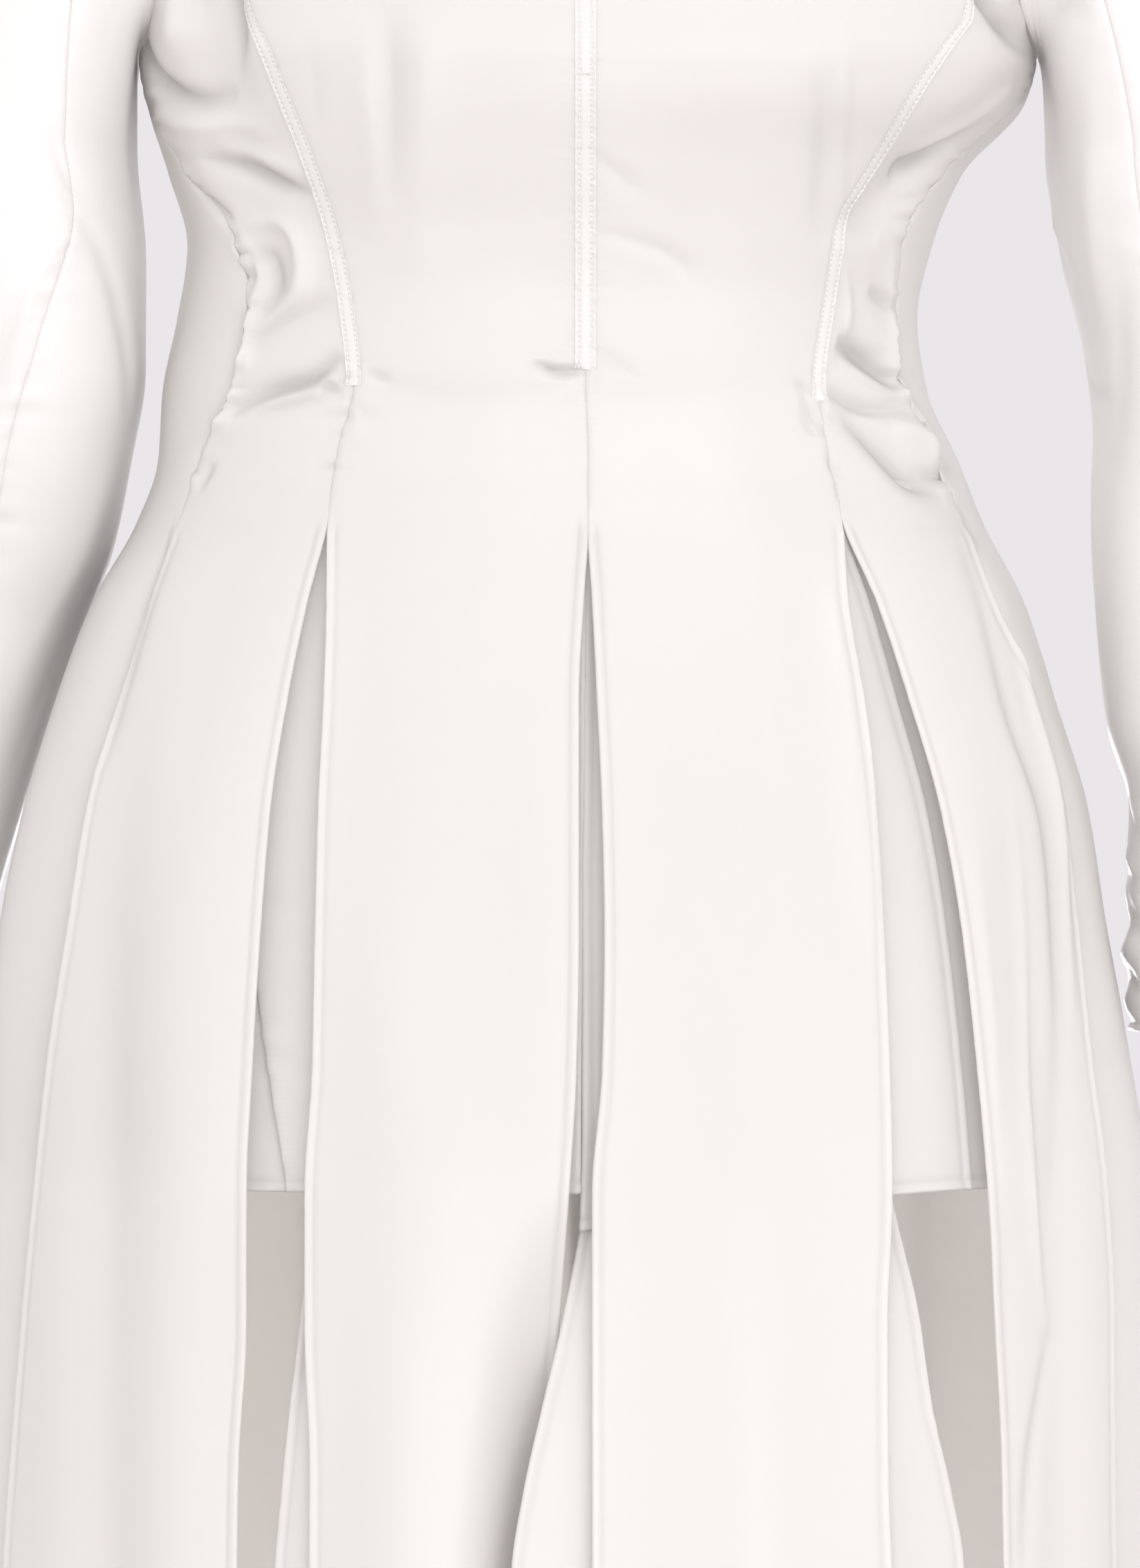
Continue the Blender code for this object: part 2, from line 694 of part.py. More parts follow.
def narrowed(rows):
    """Moves the two edges of each row in by half a seam's gap."""
    for row in rows:
        first, last = (row[1] - row[0]).normalized(), (row[-2] - row[-1]).normalized()
        row[0] = row[0] + first * SLEEVE_SEAM_GAP / 2 * MM
        row[-1] = row[-1] + last * SLEEVE_SEAM_GAP / 2 * MM
    return rows


def sleeves(satin):
    """Each sleeve's upper and under piece."""
    upper = list(range(BACK_SEAM_STEP - ARMHOLE_STEPS, FRONT_SEAM_STEP + 1))
    under = list(range(FRONT_SEAM_STEP, BACK_SEAM_STEP + 1))
    for side, word, table in ((-1, "left", LEFT_SLEEVE), (1, "right", RIGHT_SLEEVE)):
        for kind, steps in (("upper", upper), ("under", under)):
            rows = sleeve_rows(side, table, [step % ARMHOLE_STEPS for step in steps])
            cloth(f"{word}_{kind}_sleeve", outwards(narrowed(rows), side > 0), satin)


def build():
    """Makes the whole dress."""
    clear_scene()
    satin = material(*SATIN)
    shaded = material(*SHADED)
    panels = front_panels(satin)
    back_panels(satin)
    tapes(panels, material(*TAPE))
    sleeves(satin)
    underskirt(shaded)
    inner_panels(shaded)


build()
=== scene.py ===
"""The looks of a long sleeve satin dress, filled out and hollow.

Every piece of cloth is a thin shell on the form of its CAD solid, with the seams, rolled hems, puckers
and creases laid on it. Sizes in the tables are millimetres, +Z is up and the front faces -Y. An
angle on a section is in degrees: 0 is the centre front, 90 is +X and 180 is the centre back. Left is -X.
"""

import json
import logging
import math
from dataclasses import dataclass, field
from enum import Enum

import bmesh
import bpy
import numpy as np
from mathutils import Matrix, Vector

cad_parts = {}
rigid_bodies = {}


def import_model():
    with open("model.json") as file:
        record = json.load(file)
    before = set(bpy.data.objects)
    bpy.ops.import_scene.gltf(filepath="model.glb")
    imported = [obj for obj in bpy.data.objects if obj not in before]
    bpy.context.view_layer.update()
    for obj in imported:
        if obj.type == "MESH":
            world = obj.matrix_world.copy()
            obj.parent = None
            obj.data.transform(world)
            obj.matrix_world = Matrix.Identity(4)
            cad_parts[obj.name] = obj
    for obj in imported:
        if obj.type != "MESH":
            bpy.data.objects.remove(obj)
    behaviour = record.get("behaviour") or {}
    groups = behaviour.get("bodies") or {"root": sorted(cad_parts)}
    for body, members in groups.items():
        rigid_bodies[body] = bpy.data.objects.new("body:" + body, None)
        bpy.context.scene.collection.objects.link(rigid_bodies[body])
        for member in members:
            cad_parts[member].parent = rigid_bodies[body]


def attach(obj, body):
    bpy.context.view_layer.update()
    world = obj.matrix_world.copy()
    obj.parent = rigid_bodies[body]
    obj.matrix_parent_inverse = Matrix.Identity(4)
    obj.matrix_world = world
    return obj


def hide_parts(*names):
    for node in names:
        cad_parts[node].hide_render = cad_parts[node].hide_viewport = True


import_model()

log = logging.getLogger("dress")
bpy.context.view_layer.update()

MM = 0.001
BODY = "root"

# The form: the power of its rounded sections, and how its front and back close towards the shoulder line,
# as a value at the middle and one at the armpit.
ROUNDNESS = 2.2
ARMPIT_REACH = 188.0
BUST_HEIGHT = -230.0
SHOULDER_SLOPE = 0.36
FRONT_BEND, FRONT_POWER = (1.6, 2.3), (0.75, 0.5)
BACK_BEND, BACK_POWER = (2.4, 2.6), (0.6, 0.5)
FOLD_FADE = 200.0
BACK_FOLD_GAIN = 1.9
INNER_FOLDS = 0.3
MEAN_RADIUS = 160.0

# The neck and the armholes, whose steps are counted round from the shoulder.
NECK_HALF_WIDTH = 72.0
NECK_POINT_HEIGHT = 6.0
FRONT_NECK_HEIGHT = -78.0
BACK_NECK_HEIGHT = -16.0
NECK_BEND = 2.4
NECK_SHARES = (0, 0.2, 0.4, 0.6, 1.0)
NECK_REACHES = (0.3, 30.0, 54.0, NECK_HALF_WIDTH, ARMPIT_REACH)
ARMHOLE_TOP = -36.0
ARMHOLE_BOTTOM = -262.0
ARMHOLE_STEPS = 20.0
PRINCESS_STEP = 6.0
UNDERARM_STEP = 10.0

# The skirt and the gaps and laps between its layers.
SLIT_TOP = -456.0
HEM = -1180.0
UNDERSKIRT_TOP = -440.0
UNDERSKIRT_HEM = -730.0
SIDE_BASE = -310.0
SEAM_GAP = 0.12
SHOULDER_GAP = 0.3
LAP = 8.0
LAP_DEPTH = 7.0
LAP_RAMP = 60.0
LAP_FADE = 13.0
TUCK_FADE = 20.0

# The sleeves.
BACK_SEAM_STEP = -6.0
SLEEVE_GAP = 0.35
SLEEVE_HEAD_BEND = 0.72
HEAD_SEAM_HEIGHT = -200.0
SLEEVE_HEAD_ROWS = 62
SLEEVE_ROW = 3.2
SLEEVE_COLUMN = 3.0
SLEEVE_SEAM_GAP = 0.004
UPPER_SLEEVE_WIDTH = 186.0
UNDER_SLEEVE_WIDTH = 124.0

# The grids: the distances from an edge to its first columns or rows, and the steps elsewhere.
EDGE_STEPS = (0.0, 0.7, 1.4, 2.1, 2.9, 3.8, 5.0, 6.6, 8.8)
HEM_BAND = 9.0
CENTRE_WIDTH = 105.0
SIDE_FRONT_WIDTH = 90.0
SIDE_BACK_WIDTH = 150.0
FLAP_WIDTH = 45.0
FRONT_COLUMN = 2.3
SIDE_FRONT_COLUMN = 2.2
BACK_COLUMN = 5.5
FRONT_ROW = 3.6
BACK_ROW = 4.8
FINE_ROW = 1.9
FLAP_ROW = 4.4
FLAP_COLUMN = 3.4
FINE_BOTTOM = -474.0
FRONT_ARMHOLE_ROWS = 64
BACK_ARMHOLE_ROWS = 36

# The cloth, its creases and its stitches.
CLOTH = 0.7
EDGE_BULGE = 0.35
CURVE_PIECES = 6
CREASE_REACH = 3.2
CREASE_DIP = 0.2
# Painted shade in narrow troughs: the widest crease that gets it, its strength and the trough depth at which
# it is full.
SHADED_WIDTH = 12.5
TROUGH_SHADE = 0.85
TROUGH_DEPTH = 7.0
CRISP_WIDTH = 7.0
SKIRT_CREASE_TOP = -443.0
CRISP_GAIN = (2.4, 1.1)
SOFT_GAIN = (1.2, 1.6)
RIPPLE_SCALES = (0.62, 0.83, 1.0, 1.37, 1.9)
DRIFT_WAVES = 9
CRUMPLE_WAVES = 6
SEAM_FADE = 6.0
SEW_DEPTH = 0.4
HEM_LINE = 0.9
TAPE_ROW = 0.42
TAPE_LIFT = 0.15
TAPE_WALL = 0.5
TAPE_DEPTH = 0.3
TAPE_SHARES = (-0.5, -0.46, -0.41, -0.35, -0.29, -0.22, -0.1, 0.1, 0.22, 0.29, 0.35, 0.41, 0.46, 0.5)
STITCH_PITCH = 2.1
STITCH_OFFSET = 1.5
BAR_TACK_PITCH = 0.7

# The satin's fine surface, in metres, and its look.
SLUB_SCALE = (620, 70, 1)
SLUB_HEIGHT = 4.0e-5
GATHER_PITCH = 0.0026
GATHER_HEIGHT = 5.0e-5
BUMP_STRENGTH = 0.8
# How much the painted shade darkens the cloth's colour.
SHADE_STRENGTH = 0.3
SPECULAR = 0.75

# The camera: how far it stands from the plane that the front's places are measured in, and what it sees.
FRONT_PLANE = -125.0
EYE_DISTANCE = 3500.0
EYE_X = -7.3
EYE_Z = -565.1
FRAME_HEIGHT = 635.0


class Side(Enum):
    """The two sides of the dress, seen from the front."""

    LEFT = -1
    RIGHT = 1

    @property
    def word(self) -> str:
        """The side's name in the names of pieces."""
        return self.name.lower()


class Fade(Enum):
    """Where along its length a crease fades out."""

    BOTH = "both"
    START = "start"
    END = "end"


class Edge(Enum):
    """The edges of a piece of cloth, seen from outside."""

    LEFT = "left"
    RIGHT = "right"
    TOP = "top"
    BOTTOM = "bottom"

    @property
    def level(self) -> bool:
        """Whether the edge runs across the piece."""
        return self in (Edge.TOP, Edge.BOTTOM)


class Seam(Enum):
    """The kinds of long seam."""

    MIDDLE = "middle"
    PRINCESS = "princess"
    SIDE = "side"


class SleevePart(Enum):
    """The two pieces of a sleeve."""

    UPPER = "upper"
    UNDER = "under"


class Slot(Enum):
    """The record's material slots."""

    SATIN = "satin"
    TAPE = "tape"
    UNDERSKIRT = "underskirt"


@dataclass(frozen=True)
class Table:
    """A short table of sizes, read on a smooth curve through its rows.

    Args:
        columns: the columns' names, the height first.
        rows: a row for each height, from the top down.
    """

    columns: str
    rows: tuple[tuple[float, ...], ...]

    def read(self, column: str, z: np.ndarray) -> np.ndarray:
        """Reads one column at some heights.

        Args:
            column: the column's name.
            z: the heights.

        Returns:
            The values, with the end rows' values past the ends.
        """
        table = np.array(self.rows, float)[::-1]
        heights = table[:, 0]
        values = table[:, self.columns.split().index(column)]
        z = np.clip(np.asarray(z, float), heights[0], heights[-1])
        rise = np.diff(values) / np.diff(heights)
        slopes = np.zeros(len(values))
        product = rise[:-1] * rise[1:]
        total = rise[:-1] + rise[1:]
        slopes[1:-1] = np.where(product > 0, 2 * product / np.where(product > 0, total, 1), 0)
        i = np.clip(np.searchsorted(heights, z, side="right") - 1, 0, len(heights) - 2)
        step = heights[i + 1] - heights[i]
        t = (z - heights[i]) / step
        start = (2 * t**3 - 3 * t**2 + 1) * values[i] + (t**3 - 2 * t**2 + t) * slopes[i] * step
        return start + (3 * t**2 - 2 * t**3) * values[i + 1] + (t**3 - t**2) * slopes[i + 1] * step


RINGS = Table(
    "z left right front back",
    (
        (20, -195, 195, 125, 95),
        (-150, -195, 195, 122, 95),
        (-200, -189, 189, 122, 93),
        (-262, -188, 188, 125, 91),
        (-280, -185, 183, 122, 89),
        (-310, -176, 157, 113, 86),
        (-340, -168, 145, 104, 84),
        (-370, -172, 139, 98, 85),
        (-400, -178, 143, 96, 90),
        (-430, -180, 156, 102, 98),
        (-456, -189, 166, 110, 108),
        (-490, -208, 183, 118, 122),
        (-530, -222, 195, 126, 134),
        (-575, -234, 207, 133, 144),
        (-625, -242, 213, 138, 150),
        (-680, -246, 222, 142, 154),
        (-730, -247, 229, 145, 157),
        (-785, -248, 231, 148, 160),
        (-840, -249, 232, 151, 163),
        (-900, -250, 233, 154, 166),
        (-1180, -262, 244, 168, 180),
    ),
)
FRONT_EDGES = Table(
    "z side_left left_out left_in centre_left centre_right right_in right_out side_right",
    (
        (-184, -183, -164, -164, -1, -1, 164, 164, 183),
        (-215, -185, -152, -152, -1, -1, 162, 162, 185),
        (-250, -187, -140, -140, -1, -1, 156, 156, 187),
        (-262, -188, -134, -134, -1, -1, 148, 148, 188),
        (-280, -183, -127, -127, -1, -1, 136, 136, 181),
        (-310, -168, -115, -115, -1, -1, 119, 119, 150),
        (-340, -146, -105, -105, -1, -1, 104, 104, 131),
        (-370, -140, -99, -99, -1, -1, 99, 99, 128),
        (-400, -146, -96, -96, -1, -1, 95, 95, 130),
        (-430, -161, -103, -103, 0, 0, 99, 99, 145),
        (-456, -169, -106, -106, 0, 0, 104, 104, 156),
        (-490, -182, -114, -106, -2, 2, 106, 118, 169),
        (-530, -194, -122, -107, -4, 4, 112, 131, 186),
        (-575, -206, -129, -109, -4, 6, 117, 144, 197),
        (-625, -214, -133, -110, -4, 7, 120, 153, 203),
        (-680, -222, -136, -111, -5, 6, 122, 159, 208),
        (-730, -227, -138, -114, -8, 2, 123, 163, 214),
        (-785, -232, -138, -114, -12, 2, 121, 166, 217),
        (-840, -236, -141, -112, -16, 2, 121, 169, 217),
        (-900, -239, -142, -112, -20, 2, 123, 170, 218),
        (-1180, -250, -148, -118, -26, 2, 128, 178, 228),
    ),
)
BACK_EDGES = Table(
    "z princess_out princess_in centre side_slit",
    (
        (-184, 164, 164, 0, 0),
        (-250, 142, 142, 0, 0),
        (-310, 112, 112, 0, 0),
        (-400, 92, 92, 0, 0),
        (-456, 104, 104, 0, 0),
        (-530, 109, 107, 0.6, 1.5),
        (-680, 116, 113, 1.0, 2.0),
        (-900, 121, 118, 1.2, 2.5),
        (-1180, 128, 124, 1.6, 3.0),
    ),
)
ARMHOLE = Table(
    "z reach",
    (
        (-36, 188),
        (-60, 176),
        (-90, 167),
        (-130, 162),
        (-184, 164),
        (-225, 174),
        (-250, 182),
        (-262, 188),
    ),
)
CENTRE_TUCK = Table("z depth", ((-720, 0), (-785, 14), (-840, 28), (-900, 38), (-1180, 50)))
INSETS = Table(
    "z front side lapped inner",
    (
        (-440, 1.6, 4.8, 4.8, 3.1),
        (-456, 2.6, 5.6, 5.6, 4.1),
        (-490, 6.0, 7.2, 7.5, 8.5),
        (-530, 8.0, 9.2, 9.8, 11.0),
        (-575, 9.0, 10.2, 11.0, 12.5),
        (-625, 9.6, 10.8, 11.6, 13.5),
        (-680, 10.0, 11.2, 12.0, 14.0),
        (-730, 10.0, 11.2, 12.0, 14.0),
        (-785, 10.0, 11.2, 12.0, 8.5),
        (-840, 10.0, 11.2, 12.0, 6.5),
        (-1180, 10.0, 11.2, 12.0, 6.5),
    ),
)
INNER_EDGES = Table(
    "z left_a left_b centre_a centre_b right_a right_b",
    (
        (-440, -103, -72, 2, 48, 64, 94),
        (-530, -106, -73, 2, 50, 67, 106),
        (-722, -117, -76, 0, 58, 76, 130),
        (-777, -120, -78, -9, 60, 76, 139),
        (-819, -124, -80, -19, 62, 76, 144),
        (-850, -127, -81, -26, 62, 76, 151),
        (-883, -130, -82, -31, 63, 77, 157),
        (-1180, -137, -84, -36, 66, 80, 165),
    ),
)
LEFT_SLEEVE = Table(
    "z inner outer front back",
    (
        (-300, 188, 287, -55, 51),
        (-345, 185, 286, -52, 56),
        (-390, 185, 285, -44, 60),
        (-430, 192, 289, -34, 70),
        (-465, 200, 294, -20, 80),
        (-500, 214, 303, -6, 90),
        (-540, 229, 313, 2, 94),
        (-587, 243, 324, 8, 92),
        (-625, 253, 331, 12, 88),
        (-655, 259, 335, 14, 86),
    ),
)
RIGHT_SLEEVE = Table(
    "z inner outer front back",
    (
        (-300, 192, 289, -55, 51),
        (-345, 199, 292, -52, 54),
        (-385, 209, 299, -48, 56),
        (-420, 213, 302, -44, 56),
        (-460, 212, 300, -40, 54),
        (-500, 214, 298, -38, 52),
        (-540, 218, 298, -36, 48),
        (-575, 227, 303, -34, 44),
        (-615, 227, 299, -32, 42),
        (-645, 226, 296, -32, 40),
        (-668, 228, 296, -32, 40),
    ),
)
LEFT_SLEEVE_SEAM = Table(
    "z step",
    (
        (-200, 5.3),
        (-250, 5.5),
        (-300, 6.4),
        (-325, 6.6),
        (-349, 6.2),
        (-368, 5.75),
        (-387, 5.35),
        (-410, 5.0),
        (-440, 4.9),
        (-655, 4.9),
    ),
)
RIGHT_SLEEVE_SEAM = Table("z step", ((-200, 6.0), (-668, 6.0)))


@dataclass(frozen=True)
class Fold:
    """A soft fold of the skirt or bodice, a ridge above zero and a trough below.

    Args:
        top, bottom: the heights between which it runs.
        top_angle, bottom_angle: its places on the section at those heights.
        width: its half width, in degrees.
        depth: how far it moves the cloth out.
    """

    top: float
    bottom: float
    top_angle: float
    bottom_angle: float
    width: float
    depth: float


FOLDS = (
    Fold(-190, -350, -62, -47, 8, -7),
    Fold(-265, -345, 74, 48, 8, -6),
    Fold(-470, HEM, -38, -39, 6, 5),
    Fold(-480, HEM, -52, -50, 6, -5),
    Fold(-470, HEM, -80, -78, 8, 7),
    Fold(-500, HEM, -97, -95, 8, -6),
    Fold(-480, HEM, -114, -112, 8, 6),
    Fold(-500, HEM, -142, -142, 8, 6),
    Fold(-520, HEM, -156, -157, 7, -5),
    Fold(-480, HEM, -170, -170, 7, 5),
    Fold(-500, HEM, 168, 166, 7, -5),
    Fold(-480, HEM, 150, 150, 8, 6),
    Fold(-520, HEM, 134, 136, 7, -5),
    Fold(-480, HEM, 116, 118, 8, 6),
    Fold(-500, HEM, 100, 101, 8, -6),
    Fold(-480, HEM, 84, 85, 7, 6),
    Fold(-500, HEM, 56, 57, 5, -4),
    Fold(-490, HEM, 18, 17, 7, -3),
    Fold(-490, HEM, -13, -12, 7, 3),
)


@dataclass(frozen=True)
class CreaseRow:
    """A crease in a table: its half width, its depth, its places and where it fades."""

    width: float
    depth: float
    places: tuple[tuple[float, float], ...]
    fade: Fade = Fade.BOTH


FRONT_CREASES = (
    CreaseRow(4, 1.7, ((-150, -333), (-141, -343), (-133, -355), (-133, -364), (-137, -379), (-139, -395)),
              Fade.START),
    CreaseRow(3.5, 1.4, ((-139, -393), (-145, -409), (-151, -421), (-157, -435)), Fade.END),
    CreaseRow(4, 1.4, ((124, -345), (123, -377), (124, -395), (127, -408), (134, -417), (141, -432))),
    CreaseRow(16, 4.5, ((-167, -244), (-167, -263), (-164, -278)), Fade.END),
    CreaseRow(6, -3.6, ((-146, -246), (-145, -263), (-147, -283)), Fade.END),
    CreaseRow(6, -3.4, ((-147, -286), (-160, -288), (-171, -283), (-178, -273), (-181, -262))),
    CreaseRow(10, 1.8, ((-176, -292), (-159, -298), (-143, -298), (-129, -302))),
    CreaseRow(6, 1.2, ((-152, -307), (-133, -312), (-117, -319))),
    CreaseRow(4.2, -2.7, ((-157, -312), (-142, -315), (-127, -322), (-112, -327))),
    CreaseRow(3.5, -1.6, ((-159, -323), (-150, -332), (-144, -337))),
    CreaseRow(6.5, 2.4, ((-142, -343), (-127, -337), (-117, -348), (-118, -367), (-129, -379), (-138, -384))),
    CreaseRow(5, -1.8, ((-138, -352), (-129, -352), (-126, -364), (-134, -374))),
    CreaseRow(5, -1.0, ((-135, -387), (-117, -375), (-103, -369))),
    CreaseRow(4.5, -2.9, ((-100, -391), (-111, -401), (-127, -406), (-145, -414))),
    CreaseRow(4, 1.4, ((-101, -399), (-113, -406), (-130, -411), (-144, -417))),
    CreaseRow(3, -0.9, ((-99, -406), (-117, -411), (-137, -416))),
    CreaseRow(2, 0.9, ((-111, -403), (-105, -401), (-100, -403))),
    CreaseRow(2, -0.8, ((-110, -407), (-105, -405), (-99, -407))),
    CreaseRow(2.6, -1.2, ((-152, -435), (-158, -446))),
    CreaseRow(3, -0.5, ((-113, -259), (-110, -283), (-109, -302))),
    CreaseRow(2.6, -0.8, ((83, -402.5), (87, -404), (92, -408))),
    CreaseRow(2.4, -0.9, ((88, -414), (88.5, -419), (92, -424))),
    CreaseRow(2.4, 0.8, ((94, -419), (96, -416), (99, -413))),
    CreaseRow(2.8, -0.9, ((97.5, -405), (108, -410), (117, -413))),
    CreaseRow(2.4, -0.8, ((96, -431), (99, -436), (104, -438))),
    CreaseRow(2.6, -0.8, ((-96, -399), (-101, -402), (-108, -407))),
    CreaseRow(2.4, -0.7, ((-98, -409), (-94, -411), (-90, -415))),
    CreaseRow(9, -1.2, ((-80, -248), (-79, -280), (-80, -330))),
    CreaseRow(8, 1.0, ((-92, -252), (-88, -300), (-86, -346))),
    CreaseRow(10, 0.8, ((-66, -253), (-68, -300), (-72, -360))),
    CreaseRow(2.6, -2.0, ((-22, -395), (-12, -398), (-1, -398))),
    CreaseRow(3, 0.8, ((-23, -392), (-12, -395), (-2, -394))),
    CreaseRow(3, 0.6, ((-20, -402), (-11, -403), (-2, -401))),
    CreaseRow(8, -0.5, ((-86, -403), (-60, -406), (-22, -405))),
    CreaseRow(2.5, -0.9, ((-90, -399), (-79, -402))),
    CreaseRow(3, 0.5, ((-95, -406), (-93, -427))),
    CreaseRow(6, -3.5, ((160, -246), (171, -260), (185, -276)), Fade.END),
    CreaseRow(6, 3.0, ((177, -245), (178, -252), (180, -259)), Fade.END),
    CreaseRow(5, -3.2, ((153, -303), (138, -311), (126, -319))),
    CreaseRow(9, 2.0, ((175, -282), (149, -300), (130, -312))),
    CreaseRow(8, -0.9, ((104, -330), (118, -344))),
    CreaseRow(3, 0.8, ((104, -352), (106, -372), (105, -385))),
    CreaseRow(3.5, -1.6, ((114, -365), (125, -374))),
    CreaseRow(6.5, -3.6, ((101, -386), (113, -393), (127, -406))),
    CreaseRow(4, 1.6, ((102, -393), (116, -403), (131, -411))),
    CreaseRow(3.2, -2.0, ((97, -406), (113, -413), (135, -413))),
    CreaseRow(6.5, -3.2, ((102, -414), (118, -429), (131, -442), (144, -447))),
    CreaseRow(8, 2.6, ((123, -420), (135, -425), (142, -436))),
    CreaseRow(4, -1.6, ((132, -438), (143, -441), (148, -434))),
    CreaseRow(3, -1.2, ((151, -455), (161, -470))),
    CreaseRow(3, -0.6, ((131, -461), (157, -463))),
    CreaseRow(6, -1.1, ((94, -276), (94, -311), (93, -352))),
    CreaseRow(2.4, 0.8, ((104, -246), (104, -289), (103, -340))),
    CreaseRow(3, -0.6, ((107, -275), (106, -329))),
    CreaseRow(4, -0.5, ((2, -309), (23, -327))),
    CreaseRow(4, -0.5, ((2, -340), (32, -350), (44, -363))),
    CreaseRow(3, -0.6, ((2, -389), (23, -401))),
    CreaseRow(2.5, 0.4, ((3, -400), (23, -405))),
    CreaseRow(2.6, -1.0, ((86, -403), (90, -415), (97, -424))),
    CreaseRow(2.2, 0.8, ((93, -406), (100, -414))),
    CreaseRow(10, 1.4, ((-110, -460), (-116, -502), (-121, -546), (-126, -597))),
    CreaseRow(18, -1.5, ((-140, -444), (-152, -502), (-161, -565), (-168, -692))),
    CreaseRow(20, 1.5, ((-155, -467), (-175, -565), (-184, -724), (-187, -898))),
    CreaseRow(6, -1.5, ((-169, -464), (-184, -508), (-197, -559))),
    CreaseRow(20, 1.0, ((-73, -451), (-79, -565), (-83, -724), (-86, -898))),
    CreaseRow(18, -1.0, ((-35, -464), (-32, -629), (-35, -883))),
    CreaseRow(14, 0.8, ((-52, -654), (-60, -803))),
    CreaseRow(18, -1.0, ((32, -464), (35, -597), (32, -806))),
    CreaseRow(10, 1.0, ((67, -464), (75, -565), (71, -708))),
    CreaseRow(6, 1.2, ((98, -483), (105, -533), (113, -638))),
    CreaseRow(3, 0.8, ((111, -524), (115, -581), (117, -644))),
    CreaseRow(6, -1.8, ((151, -467), (171, -533), (187, -584), (191, -644), (190, -743))),
    CreaseRow(4, 1.6, ((158, -467), (180, -533), (192, -585), (197, -660))),
    CreaseRow(3.5, 1.3, ((171, -559), (178, -629), (180, -705), (184, -763), (190, -791))),
    CreaseRow(4, -1.2, ((191, -781), (180, -838), (177, -892))),
    CreaseRow(6, 1.2, ((155, -578), (163, -660), (167, -768))),
)
BACK_CREASES = (
    CreaseRow(14, 4.0, ((-112, -236), (-118, -262), (-122, -292)), Fade.END),
    CreaseRow(6, -3.0, ((-104, -270), (-118, -300), (-132, -312))),
    CreaseRow(5, -2.4, ((-98, -318), (-112, -330), (-128, -326))),
    CreaseRow(6, 2.0, ((-100, -345), (-115, -362), (-130, -368))),
    CreaseRow(5, -2.6, ((-98, -392), (-116, -404), (-134, -398))),
    CreaseRow(4, 1.6, ((-97, -412), (-112, -424), (-130, -420))),
    CreaseRow(14, 3.6, ((112, -236), (118, -258), (121, -286)), Fade.END),
    CreaseRow(6, -2.8, ((102, -280), (116, -306), (130, -316))),
    CreaseRow(5, 2.2, ((98, -330), (112, -348), (128, -352))),
    CreaseRow(5, -2.6, ((97, -372), (112, -392), (130, -396))),
    CreaseRow(5, -2.4, ((98, -412), (114, -428), (132, -424))),
    CreaseRow(8, -1.4, ((150, -110), (152, -200), (150, -300))),
    CreaseRow(9, 1.2, ((166, -90), (168, -200), (166, -330))),
    CreaseRow(8, -1.3, ((-150, -120), (-153, -220), (-150, -320))),
    CreaseRow(9, 1.2, ((-167, -100), (-169, -210), (-167, -340))),
    CreaseRow(5, -1.6, ((-176, -404), (-158, -410), (-140, -402))),
    CreaseRow(4, 1.0, ((-174, -418), (-156, -424), (-142, -418))),
    CreaseRow(5, -1.7, ((176, -400), (160, -406), (142, -398))),
    CreaseRow(4, 1.1, ((174, -414), (158, -420), (143, -414))),
    CreaseRow(16, 1.4, ((160, -480), (158, -700), (159, -1150))),
    CreaseRow(13, -8.0, ((139, -700), (141, -800), (140, -1000), (142, -1170)), Fade.START),
    CreaseRow(9, 6.0, ((131, -720), (134, -800), (133, -1000)), Fade.START),
    CreaseRow(3.5, 1.8, ((131, -745), (134, -762), (137, -785), (138, -800))),
    CreaseRow(13, -8.0, ((-148, -690), (-149, -820), (-148, -1000), (-150, -1170)), Fade.START),
    CreaseRow(14, -1.4, ((-162, -490), (-164, -760), (-163, -1160))),
    CreaseRow(12, 1.6, ((-104, -480), (-106, -700), (-105, -1100))),
    CreaseRow(12, 1.6, ((104, -500), (108, -720), (107, -1120))),
)
LEFT_SLEEVE_CREASES = (
    CreaseRow(5, -2.2, ((6.1, -318), (7.4, -348), (8.2, -384), (8.6, -416))),
    CreaseRow(4, -1.5, ((5.3, -298), (6.5, -318), (8.2, -334))),
    CreaseRow(5, 1.7, ((6.3, -333), (5.3, -362), (4.6, -402))),
    CreaseRow(10, 1.6, ((7.0, -238), (8.5, -298), (9.2, -352))),
    CreaseRow(6, -1.5, ((5.6, -345), (4.4, -392), (3.6, -440))),
    CreaseRow(9, 1.6, ((8.2, -430), (7.6, -480), (7.0, -540))),
    CreaseRow(8, -1.6, ((9.3, -440), (8.6, -500), (8.0, -570))),
    CreaseRow(6, -2.4, ((12.6, -308), (15.0, -333), (17.2, -328))),
    CreaseRow(6, 2.0, ((12.4, -342), (14.6, -364), (16.8, -358))),
    CreaseRow(5, -2.0, ((12.8, -372), (14.8, -386), (16.4, -380))),
    CreaseRow(6, -1.6, ((0.6, -318), (2.8, -336), (4.5, -326))),
    CreaseRow(9, -1.8, ((1.5, -90), (2.0, -150), (2.2, -230))),
    CreaseRow(9, 1.6, ((18.0, -100), (17.6, -170), (17.2, -250))),
    CreaseRow(7, 1.6, ((2.0, -470), (2.6, -530), (2.4, -600))),
    CreaseRow(7, -1.6, ((17.0, -460), (17.4, -520), (17.2, -600))),
)
